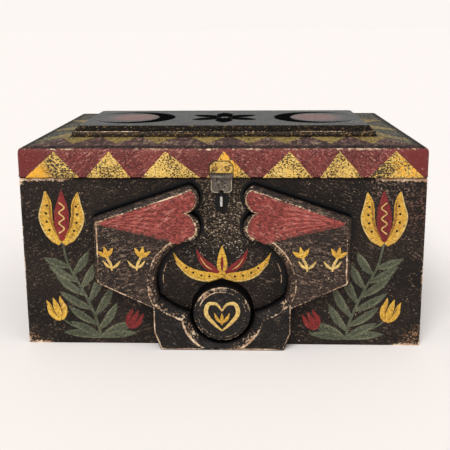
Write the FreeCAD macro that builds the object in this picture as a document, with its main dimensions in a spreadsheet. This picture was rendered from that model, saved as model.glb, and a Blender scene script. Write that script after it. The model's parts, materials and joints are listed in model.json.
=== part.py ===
"""A carved and painted keepsake box with a hinged lid and a small hasp, in millimetres.

The origin is the middle of the box's base. +X runs to the right along the carved front, -Y faces the viewer
and +Z points up. Every size is a cell of the sheet "Sizes", and the pieces are bound to those cells.
"""

import FreeCAD, Part
import math
import os
import re

import Sketcher

SIZES = {
    # Box boards
    "body_width": 344,
    "body_depth": 232,
    "body_height": 150,
    "board": 15,
    "bottom_thickness": 12,
    "rebate": 6,
    # Dowels in the corners and nails in the bottom
    "dowel_radius": 3,
    "dowel_length": 24,
    "dowel_depth": 10,
    "dowel_first": 28,
    "dowel_pitch": 45,
    "nail_radius": 1,
    "nail_length": 25,
    "nail_head_radius": 2.2,
    "nail_head_height": 0.8,
    "nail_pitch": 80,
    # Carved front
    "relief": 12,
    "bevel": 4,
    "wing_margin": 63.2,
    "wing_low": 61,
    "wing_shoulder_drop": 31.6,
    "wing_top_drop": 3.5,
    "wing_top_inner": 27,
    "notch_inner": 28,
    "notch_drop": 27.5,
    "lobe_foot_drop": 54.2,
    "lobe_fullness": 1.03,
    "oval_half_width": 53.5,
    "oval_low": 47.8,
    "oval_fullness": 1.34,
    "floor_fullness": 4,
    "foot_half_width": 59.5,
    "foot_height": 37.6,
    "foot_taper_height": 16.2,
    "foot_base_half_width": 53,
    "roundel_level": 33,
    "roundel_seat_radius": 27.5,
    "roundel_base_radius": 27.2,
    "roundel_radius": 22,
    # Lid
    "lid_overhang": 2,
    "lid_side_overhang": 0.5,
    "lid_edge": 25.5,
    "border": 36,
    "back_border": 77,
    "border_rise": 4,
    "moulding_height": 4.2,
    "moulding_round": 1.8,
    "moulding_step": 2,
    "panel_height": 9.3,
    "panel_chamfer": 5,
    "carving_depth": 2.5,
    "ring_margin": 49.5,
    "ring_outer": 39,
    "ring_inner": 30,
    "petal_start": 3,
    "petal_end": 35,
    "petal_radius": 20,
    # Butt hinges
    "hinge_margin": 67,
    "hinge_width": 44,
    "hinge_height": 20,
    "leaf_thickness": 1.6,
    "knuckle_radius": 3,
    "knuckle_gap": 0.2,
    "barrel_clearance": 0.1,
    "pin_radius": 1.5,
    "pin_clearance": 0.05,
    "pin_head_radius": 2.4,
    "pin_head_height": 1,
    "screw_pitch": 15,
    "screw_radius": 1.6,
    "screw_head_radius": 3.2,
    "screw_length": 11,
    # Hasp and staple
    "hasp_width": 19,
    "hasp_plate_height": 11.2,
    "hasp_plate_corner": 3.5,
    "hasp_thickness": 1.2,
    "hasp_axis_rise": 1.8,
    "hasp_knuckle_radius": 1.6,
    "hasp_knuckle_half_width": 3,
    "hasp_pin_radius": 0.8,
    "hasp_leaf_width": 18,
    "hasp_leaf_length": 12,
    "hasp_leaf_corner": 3,
    "hasp_notch_half_width": 1.8,
    "hasp_notch_depth": 2.2,
    "hasp_nail_offset": 5.2,
    "hasp_nail_radius": 0.8,
    "hasp_nail_length": 9,
    "hasp_nail_head_radius": 1.6,
    "hasp_nail_head_height": 0.7,
    "staple_wire_radius": 1.15,
    "staple_drop": 11.5,
    "staple_height": 13,
    "staple_reach": 7,
    "staple_depth": 9,
    "staple_bend": 3,
}

# Places worked out from the sizes
FRONT = "-body_depth / 2"
BACK = "body_depth / 2"
SIDE = "body_width / 2"
INNER_SIDE = "(body_width / 2 - board)"
INNER_BACK = "(body_depth / 2 - board)"
SEAM = "body_height"
LID_FRONT = "(-body_depth / 2 - lid_overhang)"
LID_SIDE = "(body_width / 2 + lid_side_overhang)"
LID_MIDDLE = "(-lid_overhang / 2)"
LID_HALF_DEPTH = "((body_depth + lid_overhang) / 2)"
PANEL_SIDE = "(body_width / 2 + lid_side_overhang - border)"
PANEL_MIDDLE = "((border - lid_overhang - back_border) / 2)"
PANEL_HALF_DEPTH = "((body_depth + lid_overhang - border - back_border) / 2)"
FIELD = "(body_height + lid_edge + border_rise)"
HINGE_OFFSET = "(body_width / 2 - hinge_margin)"
HINGE_AXIS = "(body_depth / 2 + knuckle_radius + barrel_clearance)"
KNUCKLES = 5
HASP_AXIS = "(-body_depth / 2 - lid_overhang - hasp_knuckle_radius - barrel_clearance)"
HASP_LEVEL = "(body_height + hasp_axis_rise)"
PETALS = 6

NAME = re.compile(r"[a-z]\w*")
X_ROD = FreeCAD.Rotation(FreeCAD.Vector(0, 1, 0), 90)
Y_ROD = FreeCAD.Rotation(FreeCAD.Vector(1, 0, 0), -90)
Z_ROD = FreeCAD.Rotation()

doc = FreeCAD.newDocument("CarvedBox")
sheet = doc.addObject("Spreadsheet::Sheet", "Sizes")
for row, (alias, size) in enumerate(SIZES.items(), start=1):
    sheet.set(f"A{row}", alias)
    sheet.set(f"B{row}", str(size))
    sheet.setAlias(f"B{row}", alias)
doc.recompute()


def sized(formula):
    """The formula with each size's name written as its cell in the sheet."""
    return NAME.sub(lambda word: f"Sizes.{word[0]}" if word[0] in SIZES else word[0], str(formula))


def value(formula):
    return float(sheet.evalExpression(sized(formula)))


def bind(thing, formulas):
    for place, formula in formulas.items():
        thing.setExpression(place, sized(formula))


def bind_place(thing, at):
    bind(thing, {f"Placement.Base.{axis}": formula for axis, formula in zip("xyz", at)})


def block(name, x, y, z):
    """A block between two formulas along each axis."""
    made = doc.addObject("Part::Box", name)
    for side, (low, high) in zip(("Length", "Width", "Height"), (x, y, z)):
        bind(made, {side: f"({high}) - ({low})"})
    bind_place(made, (x[0], y[0], z[0]))
    return made


def rod(name, radius, length, at, turn):
    """A cylinder that starts at a place and runs along the turned Z axis."""
    made = doc.addObject("Part::Cylinder", name)
    made.Placement = FreeCAD.Placement(FreeCAD.Vector(), turn)
    bind(made, {"Radius": radius, "Height": length})
    bind_place(made, at)
    return made


def cone(name, radius_1, radius_2, length, at, turn):
    made = doc.addObject("Part::Cone", name)
    made.Placement = FreeCAD.Placement(FreeCAD.Vector(), turn)
    bind(made, {"Radius1": radius_1, "Radius2": radius_2, "Height": length})
    bind_place(made, at)
    return made


def fuse(name, pieces):
    made = doc.addObject("Part::MultiFuse", name)
    made.Shapes = pieces
    return made


def group(name, pieces):
    """Separate solids that are one sub-part, such as a set of nails."""
    made = doc.addObject("Part::Compound", name)
    made.Links = pieces
    return made


def cut(name, base, *tools):
    """The base less each of the tools."""
    for number, tool in enumerate(tools):
        made = doc.addObject("Part::Cut", f"{name}_cut_{number}")
        made.Base = base
        made.Tool = tool
        base = made
    return base


def body(name):
    return doc.addObject("PartDesign::Body", name)


def sketch_on(owner, name, plane, lift):
    """A sketch on one of the body's origin planes, lifted along the plane's normal."""
    sketch = owner.newObject("Sketcher::SketchObject", name)
    origin = next(f for f in owner.Origin.OriginFeatures if f.Role == plane)
    sketch.AttachmentSupport = [(origin, "")]
    sketch.MapMode = "FlatFace"
    bind(sketch, {"AttachmentOffset.Base.z": lift})
    return sketch


def bind_constraint(sketch, kind, where, name, formula):
    number = sketch.addConstraint(Sketcher.Constraint(kind, *where, value(formula)))
    sketch.renameConstraint(number, name)
    bind(sketch, {f"Constraints.{name}": formula})


def arc_between(start, end, radius, turn):
    """The short arc from start to end, anticlockwise where turn is 1 and clockwise where it is -1."""
    half = (end - start) / 2
    height = math.sqrt(radius**2 - half.Length**2)
    left = FreeCAD.Vector(-half.y, half.x, 0).normalize()
    centre = start + half + left * height * turn
    first, last = (start, end) if turn > 0 else (end, start)
    angles = [math.atan2(p.y - centre.y, p.x - centre.x) for p in (first, last)]
    return Part.ArcOfCircle(Part.Circle(centre, FreeCAD.Vector(0, 0, 1), radius), *angles)


def draw(sketch, corners):
    """A closed outline. A corner is (x, y) before a straight side, (x, y, radius, turn) before an arc."""
    count = len(corners)
    places = [FreeCAD.Vector(value(c[0]), value(c[1]), 0) for c in corners]
    ends = []
    for number, corner in enumerate(corners):
        start, end = places[number], places[(number + 1) % count]
        if len(corner) == 2:
            sketch.addGeometry(Part.LineSegment(start, end))
            ends.append((1, 2))
        else:
            sketch.addGeometry(arc_between(start, end, value(corner[2]), corner[3]))
            ends.append((1, 2) if corner[3] > 0 else (2, 1))
    for number, corner in enumerate(corners):
        before = (number - 1) % count
        sketch.addConstraint(
            Sketcher.Constraint("Coincident", before, ends[before][1], number, ends[number][0])
        )
        where = (-1, 1, number, ends[number][0])
        bind_constraint(sketch, "DistanceX", where, f"across_{number}", corner[0])
        bind_constraint(sketch, "DistanceY", where, f"along_{number}", corner[1])
        if len(corner) > 2:
            bind_constraint(sketch, "Radius", (number,), f"radius_{number}", corner[2])


def draw_rectangle(sketch, half_width, middle, half_depth):
    low, high = f"{middle} - ({half_depth})", f"{middle} + ({half_depth})"
    left, right = f"-({half_width})", half_width
    draw(sketch, [(left, low), (right, low), (right, high), (left, high)])


def draw_circle(sketch, radius, x, y):
    number = sketch.addGeometry(
        Part.Circle(FreeCAD.Vector(value(x), value(y), 0), FreeCAD.Vector(0, 0, 1), value(radius))
    )
    bind_constraint(sketch, "DistanceX", (-1, 1, number, 3), f"centre_x_{number}", x)
    bind_constraint(sketch, "DistanceY", (-1, 1, number, 3), f"centre_y_{number}", y)
    bind_constraint(sketch, "Radius", (number,), f"circle_{number}", radius)


def pad(owner, name, sketch, length):
    made = owner.newObject("PartDesign::Pad", name)
    made.Profile = sketch
    bind(made, {"Length": length})
    doc.recompute()
    return made


def pocket(owner, name, sketch, depth):
    made = owner.newObject("PartDesign::Pocket", name)
    made.Profile = sketch
    bind(made, {"Length": depth})
    doc.recompute()
    return made


def chamfer(owner, name, base, edges, size):
    made = owner.newObject("PartDesign::Chamfer", name)
    made.Base = (base, edges)
    bind(made, {"Size": size})
    doc.recompute()
    return made


def fillet(owner, name, base, edges, radius):
    made = owner.newObject("PartDesign::Fillet", name)
    made.Base = (base, edges)
    bind(made, {"Radius": radius})
    doc.recompute()
    return made


def edges_where(shape, axis, level):
    """Names of the edges that lie in the plane at a level along an axis."""
    low, high = f"{axis}Min", f"{axis}Max"
    return [
        f"Edge{number}"
        for number, edge in enumerate(shape.Edges, start=1)
        if max(abs(getattr(edge.BoundBox, side) - level) for side in (low, high)) < 1e-4
    ]


def corner_dowels():
    """Blind dowels that join the front and back boards to the ends of the end boards."""
    front_start = f"-({INNER_BACK}) - dowel_depth"
    back_start = f"{INNER_BACK} + dowel_depth - dowel_length"
    dowels = []
    for x_sign in (-1, 1):
        for start in (front_start, back_start):
            for step in range(3):
                at = (f"{x_sign} * ({SIDE} - board / 2)", start, f"dowel_first + {step} * dowel_pitch")
                dowels.append(rod(f"dowel_{len(dowels)}", "dowel_radius", "dowel_length", at, Y_ROD))
    return group("corner_dowels", dowels)


def nail(name, at, turn, prefix, back):
    """A round nail with a flat head. back is the place of the head's outer face."""
    shank = rod(f"{name}_shank", f"{prefix}_radius", f"{prefix}_length", at, turn)
    head = rod(f"{name}_head", f"{prefix}_head_radius", f"{prefix}_head_height", back, turn)
    return fuse(name, [shank, head])


def bottom_nails():
    """Nails driven up through the bottom board's rim, with their heads let in flush."""
    rim_y = f"({INNER_BACK} + rebate / 2)"
    rim_x = f"({INNER_SIDE} + rebate / 2)"
    places = []
    for sign in (-1, 1):
        places += [(f"{step} * nail_pitch", f"{sign} * {rim_y}") for step in (-1.5, -0.5, 0.5, 1.5)]
        places += [(f"{sign} * {rim_x}", f"{step} * nail_pitch") for step in (-0.5, 0.5)]
    nails = []
    for x, y in places:
        nails.append(nail(f"bottom_nail_{len(nails)}", (x, y, "0"), Z_ROD, "nail", (x, y, "0")))
    return group("bottom_nails", nails)


def arc_radius(start, end, fullness):
    """The radius of an arc between two corners: half the way between them, times its fullness."""
    run, rise = (f"(({a}) - ({b}))" for a, b in zip(start, end))
    return f"{fullness} * sqrt({run}^2 + {rise}^2) / 2"


def carved_edge(shape, *corners):
    """The name of the edge between two corners of a carved piece's front face."""
    face = value(f"{FRONT} - relief")
    ends = [FreeCAD.Vector(value(x), face, value(z)) for x, z in corners]
    for number, edge in enumerate(shape.Edges, start=1):
        gaps = [min(end.distanceToPoint(v.Point) for v in edge.Vertexes) for end in ends]
        if max(gaps) < 1e-4:
            return f"Edge{number}"
    raise RuntimeError(f"no edge between {corners}")


def wing(side, sign):
    """A raised panel whose inner end is carved into the two lobes of a heart, above an oval hollow."""
    made = body(f"{side}_wing_body")
    outline = sketch_on(made, f"{side}_wing_outline", "XZ_Plane", "body_depth / 2")
    tip = (f"{sign} * wing_top_inner", f"{SEAM} - wing_top_drop")
    notch = (f"{sign} * notch_inner", f"{SEAM} - notch_drop")
    lobe_foot = (f"{sign} * notch_inner", f"{SEAM} - lobe_foot_drop")
    oval_end = (f"{sign} * oval_half_width", "oval_low")
    foot_corner = (f"{sign} * foot_half_width", "foot_height")
    outer = f"{sign} * ({SIDE} - wing_margin)"
    low, shoulder = (outer, "wing_low"), (outer, f"{SEAM} - wing_shoulder_drop")
    draw(
        outline,
        [
            low,
            shoulder,
            (*tip, arc_radius(tip, notch, "lobe_fullness"), sign),
            (*notch, arc_radius(notch, lobe_foot, "lobe_fullness"), sign),
            (*lobe_foot, arc_radius(lobe_foot, oval_end, "oval_fullness"), -sign),
            oval_end,
            foot_corner,
        ],
    )
    slab = pad(made, f"{side}_wing_slab", outline, "relief")
    sides = ((low, shoulder), (shoulder, tip), (foot_corner, low))
    chamfer(made, f"{side}_wing_bevel", slab, [carved_edge(slab.Shape, *ends) for ends in sides], "bevel")
    return made


def foot_block():
    """The foot under the oval, with a round seat for the roundel and its lower edge level with the base."""
    made = body("foot_body")
    outline = sketch_on(made, "foot_outline", "XZ_Plane", "body_depth / 2")
    right_end, left_end = (("oval_half_width", "oval_low"), ("-oval_half_width", "oval_low"))
    right_seat = ("roundel_seat_radius", "roundel_level")
    left_seat = ("-roundel_seat_radius", "roundel_level")
    floor_radius = arc_radius(right_end, right_seat, "floor_fullness")
    draw(
        outline,
        [
            ("-foot_base_half_width", "0"),
            ("foot_base_half_width", "0"),
            ("foot_half_width", "foot_taper_height"),
            ("foot_half_width", "foot_height"),
            (*right_end, floor_radius, -1),
            (*right_seat, "roundel_seat_radius", -1),
            ("0", "roundel_level - roundel_seat_radius", "roundel_seat_radius", -1),
            (*left_seat, floor_radius, -1),
            left_end,
            ("-foot_half_width", "foot_height"),
            ("-foot_half_width", "foot_taper_height"),
        ],
    )
    slab = pad(made, "foot_slab", outline, "relief")
    floors = [carved_edge(slab.Shape, *ends) for ends in ((right_end, right_seat), (left_seat, left_end))]
    chamfer(made, "foot_bevel", slab, floors, "bevel")
    return made


def roundel():
    """A turned disc with a sloping edge, seated in the foot and standing up into the oval."""
    at = ("0", FRONT, "roundel_level")
    towards_viewer = FreeCAD.Rotation(FreeCAD.Vector(1, 0, 0), 90)
    return cone("roundel_disc", "roundel_base_radius", "roundel_radius", "relief", at, towards_viewer)


def staple():
    """A bent wire driven into the front board, which stands out as an upright eye."""
    radius, bend = value("staple_wire_radius"), value("staple_bend")
    top = value(f"{SEAM} - staple_drop")
    low = top - value("staple_height")
    inside = value(f"{FRONT} + staple_depth")
    outside = value(f"{FRONT} - staple_reach")
    slack = bend * (1 - math.sqrt(0.5))

    def at(y, z):
        return FreeCAD.Vector(0, y, z)

    upper = [at(outside + bend, top), at(outside + slack, top - slack), at(outside, top - bend)]
    lower = [at(outside, low + bend), at(outside + slack, low + slack), at(outside + bend, low)]
    pieces = [
        Part.LineSegment(at(inside, top), upper[0]),
        Part.Arc(*upper),
        Part.LineSegment(upper[-1], lower[0]),
        Part.Arc(*lower),
        Part.LineSegment(lower[-1], at(inside, low)),
    ]
    path = Part.Wire([piece.toShape() for piece in pieces])
    ring = Part.Wire(Part.makeCircle(radius, at(inside, top), FreeCAD.Vector(0, 1, 0)))
    made = doc.addObject("Part::Feature", "staple_wire")
    made.Shape = path.makePipeShell([ring], True, False)
    return made


def hinge_leaf(name, x, up, knuckles):
    """One leaf with its knuckles: on the back board where up is -1, on the lid where it is 1."""
    left = f"({x} - hinge_width / 2)"
    knuckle = f"hinge_width / {KNUCKLES}"
    faces = (BACK, f"{BACK} + leaf_thickness")
    near = f"{SEAM} + {up} * (knuckle_radius + barrel_clearance)"
    far = f"{SEAM} + {up} * hinge_height"
    levels = (near, far) if up > 0 else (far, near)
    pieces = [block(f"{name}_plate", (left, f"{left} + hinge_width"), faces, levels)]
    tab_levels = (SEAM, near) if up > 0 else (near, SEAM)
    for number in knuckles:
        start = f"{left} + {number} * {knuckle} + knuckle_gap / 2"
        width = f"{knuckle} - knuckle_gap"
        span = (start, f"{start} + {width}")
        pieces.append(block(f"{name}_tab_{number}", span, faces, tab_levels))
        at = (start, HINGE_AXIS, SEAM)
        pieces.append(rod(f"{name}_knuckle_{number}", "knuckle_radius", width, at, X_ROD))
    bore = rod(
        f"{name}_bore", "pin_radius + pin_clearance", "hinge_width", (left, HINGE_AXIS, SEAM), X_ROD
    )
    return cut(name, fuse(f"{name}_whole", pieces), bore)


def hinge_pin(name, x):
    """The pin of one hinge, headed at both ends."""
    head = "(pin_head_height + pin_clearance)"
    left = f"{x} - hinge_width / 2 - {head}"
    right = f"{x} + hinge_width / 2 + pin_clearance"
    length = f"hinge_width + 2 * {head}"
    pieces = [rod(f"{name}_shank", "pin_radius", length, (left, HINGE_AXIS, SEAM), X_ROD)]
    for number, start in enumerate((left, right)):
        at = (start, HINGE_AXIS, SEAM)
        pieces.append(rod(f"{name}_head_{number}", "pin_head_radius", "pin_head_height", at, X_ROD))
    return fuse(name, pieces)


def hinge_screws(name, up):
    """The countersunk screws of both leaves on one side of the seam."""
    level = f"{SEAM} + {up} * (knuckle_radius + barrel_clearance + hinge_height) / 2"
    inwards = FreeCAD.Rotation(FreeCAD.Vector(1, 0, 0), 90)
    screws = []
    for sign in (-1, 1):
        for step in (-1, 0, 1):
            x = f"{sign} * {HINGE_OFFSET} + {step} * screw_pitch"
            head_at = (x, f"{BACK} + leaf_thickness", level)
            mark = f"{name}_{len(screws)}"
            radii = ("screw_head_radius", "screw_radius")
            head = cone(f"{mark}_head", *radii, "leaf_thickness", head_at, inwards)
            shank = rod(f"{mark}_shank", "screw_radius", "screw_length", (x, BACK, level), inwards)
            screws.append(fuse(mark, [head, shank]))
    return group(name, screws)


def lid_board():
    """The lid's board, whose wide borders slope up to the panel."""
    made = body("lid_body")
    edge = sketch_on(made, "lid_outline", "XY_Plane", SEAM)
    draw_rectangle(edge, LID_SIDE, LID_MIDDLE, LID_HALF_DEPTH)
    pad(made, "lid_slab", edge, "lid_edge")
    foot = sketch_on(made, "border_foot", "XY_Plane", f"{SEAM} + lid_edge")
    draw_rectangle(foot, LID_SIDE, LID_MIDDLE, LID_HALF_DEPTH)
    top = sketch_on(made, "border_top", "XY_Plane", FIELD)
    draw_rectangle(top, PANEL_SIDE, PANEL_MIDDLE, PANEL_HALF_DEPTH)
    slope = made.newObject("PartDesign::AdditiveLoft", "border_slope")
    slope.Profile = foot
    slope.Sections = [top]
    slope.Ruled = True
    doc.recompute()
    return made


def lid_panel():
    """The raised panel: a rounded moulding, a bevelled field, two carved rings and a carved rosette."""
    made = body("panel_body")
    base = sketch_on(made, "moulding_outline", "XY_Plane", FIELD)
    draw_rectangle(base, PANEL_SIDE, PANEL_MIDDLE, PANEL_HALF_DEPTH)
    moulding = pad(made, "moulding_slab", base, "moulding_height")
    arris = edges_where(moulding.Shape, "Z", value(f"{FIELD} + moulding_height"))
    rounded = fillet(made, "moulding_rounding", moulding, arris, "moulding_round")
    made.Tip = rounded
    field = sketch_on(made, "field_outline", "XY_Plane", f"{FIELD} + moulding_height")
    inner_side, inner_depth = f"{PANEL_SIDE} - moulding_step", f"{PANEL_HALF_DEPTH} - moulding_step"
    draw_rectangle(field, inner_side, PANEL_MIDDLE, inner_depth)
    upper = pad(made, "field_slab", field, "panel_height - moulding_height")
    top = f"{FIELD} + panel_height"
    arris = edges_where(upper.Shape, "Z", value(top))
    chamfer(made, "field_bevel", upper, arris, "panel_chamfer")
    rings = sketch_on(made, "ring_outline", "XY_Plane", top)
    for sign in (-1, 1):
        for radius in ("ring_outer", "ring_inner"):
            draw_circle(rings, radius, f"{sign} * ({PANEL_SIDE} - ring_margin)", PANEL_MIDDLE)
    pocket(made, "ring_grooves", rings, "carving_depth")
    petal = sketch_on(made, "petal_outline", "XY_Plane", top)
    bind(petal, {"AttachmentOffset.Base.y": PANEL_MIDDLE})
    draw(petal, [("0", "petal_start", "petal_radius", 1), ("0", "petal_end", "petal_radius", 1)])
    rosette = made.newObject("PartDesign::PolarPattern", "rosette")
    rosette.Originals = [pocket(made, "petal", petal, "carving_depth")]
    rosette.Axis = (petal, ["N_Axis"])
    rosette.Angle = 360
    rosette.Occurrences = PETALS
    made.Tip = rosette
    doc.recompute()
    return made


def hasp_knuckle(name, start, width, levels):
    """A knuckle of the hasp's hinge with the strap that joins it to its plate or leaf."""
    faces = (f"{LID_FRONT} - hasp_thickness", LID_FRONT)
    strap = block(f"{name}_strap", (start, f"{start} + {width}"), faces, levels)
    barrel = rod(f"{name}_barrel", "hasp_knuckle_radius", width, (start, HASP_AXIS, HASP_LEVEL), X_ROD)
    return [strap, barrel]


def hasp_bore(name):
    at = ("-hasp_width / 2", HASP_AXIS, HASP_LEVEL)
    return rod(name, "hasp_pin_radius + pin_clearance", "hasp_width", at, X_ROD)


def hasp_plate():
    """The plate on the lid's front, with clipped top corners and a knuckle at each side."""
    made = body("hasp_plate_body")
    outline = sketch_on(made, "hasp_plate_outline", "XZ_Plane", f"-({LID_FRONT})")
    low = f"{HASP_LEVEL} + hasp_knuckle_radius + barrel_clearance"
    high = f"{low} + hasp_plate_height"
    half = "hasp_width / 2"
    draw(
        outline,
        [
            (f"-{half}", low),
            (half, low),
            (half, f"{high} - hasp_plate_corner"),
            (f"{half} - hasp_plate_corner", high),
            (f"hasp_plate_corner - {half}", high),
            (f"-{half}", f"{high} - hasp_plate_corner"),
        ],
    )
    pad(made, "hasp_plate_slab", outline, "hasp_thickness")
    gap = "hasp_knuckle_half_width + knuckle_gap"
    width = f"({half} - ({gap}))"
    pieces = [made]
    for number, start in enumerate((f"-{half}", gap)):
        pieces += hasp_knuckle(f"hasp_plate_{number}", start, width, (HASP_LEVEL, low))
    return cut("hasp_plate", fuse("hasp_plate_whole", pieces), hasp_bore("hasp_plate_bore"))


def hasp_leaf():
    """The hanging leaf, with rounded lower corners and a notch that drops over the staple."""
    made = body("hasp_leaf_body")
    outline = sketch_on(made, "hasp_leaf_outline", "XZ_Plane", f"-({LID_FRONT})")
    high = f"{HASP_LEVEL} - hasp_knuckle_radius - barrel_clearance"
    low = f"{SEAM} - hasp_leaf_length"
    half = "hasp_leaf_width / 2"
    notch = "hasp_notch_half_width"
    draw(
        outline,
        [
            (f"-{half}", f"{low} + hasp_leaf_corner", "hasp_leaf_corner", 1),
            (f"hasp_leaf_corner - {half}", low),
            (f"-{notch}", low),
            (f"-{notch}", f"{low} + hasp_notch_depth"),
            (notch, f"{low} + hasp_notch_depth"),
            (notch, low),
            (f"{half} - hasp_leaf_corner", low, "hasp_leaf_corner", 1),
            (half, f"{low} + hasp_leaf_corner"),
            (half, high),
            (f"-{half}", high),
        ],
    )
    pad(made, "hasp_leaf_slab", outline, "hasp_thickness")
    width = "2 * hasp_knuckle_half_width"
    strap = hasp_knuckle("hasp_leaf_middle", "-hasp_knuckle_half_width", width, (high, HASP_LEVEL))
    return cut("hasp_leaf", fuse("hasp_leaf_whole", [made, *strap]), hasp_bore("hasp_leaf_bore"))


def hasp_nails():
    """The two nails that hold the hasp's plate, with their heads standing on it."""
    level = f"{HASP_LEVEL} + hasp_knuckle_radius + barrel_clearance + hasp_plate_height / 2"
    face = f"{LID_FRONT} - hasp_thickness"
    nails = []
    for sign in (-1, 1):
        x = f"{sign} * hasp_nail_offset"
        head = (x, f"{face} - hasp_nail_head_height", level)
        nails.append(nail(f"hasp_nail_{len(nails)}", (x, face, level), Y_ROD, "hasp_nail", head))
    return group("hasp_nails", nails)


def hasp_pin():
    at = ("-hasp_width / 2", HASP_AXIS, HASP_LEVEL)
    return rod("hasp_pin", "hasp_pin_radius", "hasp_width", at, X_ROD)


def boards(dowels, nails, staple_wire, box_screws):
    """The five boards of the box, with the holes of what is driven into them."""
    rebate_x = f"({INNER_SIDE} + rebate)"
    rebate_y = f"({INNER_BACK} + rebate)"
    floor = block(
        "floor",
        (f"-{rebate_x}", rebate_x),
        (f"-{rebate_y}", rebate_y),
        ("0", "bottom_thickness"),
    )
    whole = (f"-({SIDE})", SIDE)
    height = ("0", SEAM)
    inner = (f"-{INNER_BACK}", INNER_BACK)
    front = block("front_blank", whole, (FRONT, f"-{INNER_BACK}"), height)
    back = block("back_blank", whole, (INNER_BACK, BACK), height)
    left = block("left_blank", (f"-({SIDE})", f"-{INNER_SIDE}"), inner, height)
    right = block("right_blank", (INNER_SIDE, SIDE), inner, height)
    return {
        "front_board": cut("front_board", front, floor, dowels, nails, staple_wire),
        "back_board": cut("back_board", back, floor, dowels, nails, box_screws),
        "left_end_board": cut("left_end_board", left, floor, dowels, nails),
        "right_end_board": cut("right_end_board", right, floor, dowels, nails),
        "bottom_board": cut("bottom_board", floor, nails),
    }


def hinges(box_screws, lid_screws):
    """Both butt hinges: a leaf on the back board, a leaf on the lid and a pin each."""
    made = {}
    box_knuckles = range(0, KNUCKLES, 2)
    lid_knuckles = range(1, KNUCKLES, 2)
    for side, sign in (("left", -1), ("right", 1)):
        x = f"{sign} * {HINGE_OFFSET}"
        box_leaf = hinge_leaf(f"{side}_hinge_box", x, -1, box_knuckles)
        lid_leaf = hinge_leaf(f"{side}_hinge_lid", x, 1, lid_knuckles)
        made[f"{side}_hinge_box_leaf"] = cut(f"{side}_box_leaf", box_leaf, box_screws)
        made[f"{side}_hinge_lid_leaf"] = cut(f"{side}_lid_leaf", lid_leaf, lid_screws)
        made[f"{side}_hinge_pin"] = hinge_pin(f"{side}_hinge_pin", x)
    return made


def build():
    """Every sub-part by its name."""
    dowels, nails, wire = corner_dowels(), bottom_nails(), staple()
    box_screws = hinge_screws("hinge_box_screws", -1)
    lid_screws = hinge_screws("hinge_lid_screws", 1)
    plate_nails = hasp_nails()
    parts = boards(dowels, nails, wire, box_screws)
    parts |= {"corner_dowels": dowels, "bottom_nails": nails, "staple": wire}
    parts |= {"left_wing": wing("left", -1), "right_wing": wing("right", 1)}
    parts |= {"foot_block": foot_block(), "roundel": roundel()}
    parts |= hinges(box_screws, lid_screws)
    parts |= {"hinge_box_screws": box_screws, "hinge_lid_screws": lid_screws}
    parts["lid_board"] = cut("lid_board", lid_board(), lid_screws, plate_nails)
    parts["lid_panel"] = lid_panel()
    parts["hasp_plate"] = cut("hasp_plate_drilled", hasp_plate(), plate_nails)
    parts |= {"hasp_nails": plate_nails, "hasp_leaf": hasp_leaf(), "hasp_pin": hasp_pin()}
    return parts


def check(parts):
    """Stops where a feature failed or a sub-part isn't made of sound solids."""
    for thing in doc.Objects:
        if {"Invalid", "Error"} & set(thing.State):
            raise RuntimeError(f"{thing.Name} failed: {thing.State}")
    for name, thing in parts.items():
        shape = thing.Shape
        if shape.isNull() or not shape.isValid() or not shape.Solids:
            raise RuntimeError(f"{name} has no valid solid")


def export(parts):
    os.makedirs("parts", exist_ok=True)
    for name, thing in parts.items():
        thing.Label = name
        thing.Shape.exportStep(os.path.join("parts", f"{name}.step"))
        print(f"{name}: {len(thing.Shape.Solids)} solids, {thing.Shape.Volume:.1f} mm3")


built = build()
doc.recompute()
check(built)
export(built)
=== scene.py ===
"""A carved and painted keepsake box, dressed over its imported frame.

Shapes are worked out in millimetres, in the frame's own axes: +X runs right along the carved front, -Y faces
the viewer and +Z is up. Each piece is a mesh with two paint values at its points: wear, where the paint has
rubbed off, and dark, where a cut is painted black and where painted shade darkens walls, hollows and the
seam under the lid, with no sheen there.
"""

import json
import math

import bmesh
import bpy
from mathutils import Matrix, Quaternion, Vector, noise
from mathutils.geometry import convex_hull_2d, delaunay_2d_cdt, intersect_line_line_2d


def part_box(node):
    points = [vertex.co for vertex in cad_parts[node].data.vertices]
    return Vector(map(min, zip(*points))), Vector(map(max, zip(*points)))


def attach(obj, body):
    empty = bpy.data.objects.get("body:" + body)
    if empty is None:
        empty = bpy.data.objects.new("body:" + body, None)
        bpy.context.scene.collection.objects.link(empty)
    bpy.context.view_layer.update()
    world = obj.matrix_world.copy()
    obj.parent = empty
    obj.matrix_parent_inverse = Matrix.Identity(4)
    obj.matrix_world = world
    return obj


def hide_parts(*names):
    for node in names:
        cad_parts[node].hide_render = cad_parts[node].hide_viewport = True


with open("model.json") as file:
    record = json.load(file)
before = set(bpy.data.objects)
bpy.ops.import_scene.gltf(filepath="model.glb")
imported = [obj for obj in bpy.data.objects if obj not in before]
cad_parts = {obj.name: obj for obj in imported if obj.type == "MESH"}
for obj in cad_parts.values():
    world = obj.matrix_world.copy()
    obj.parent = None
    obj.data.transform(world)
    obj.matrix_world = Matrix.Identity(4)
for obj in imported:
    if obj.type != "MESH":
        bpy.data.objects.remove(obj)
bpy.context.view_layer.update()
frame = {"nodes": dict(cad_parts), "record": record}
MM = 0.001


def span(node):
    """A node's lowest and highest corners, in mm."""
    return [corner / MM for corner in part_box(node)]


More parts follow.
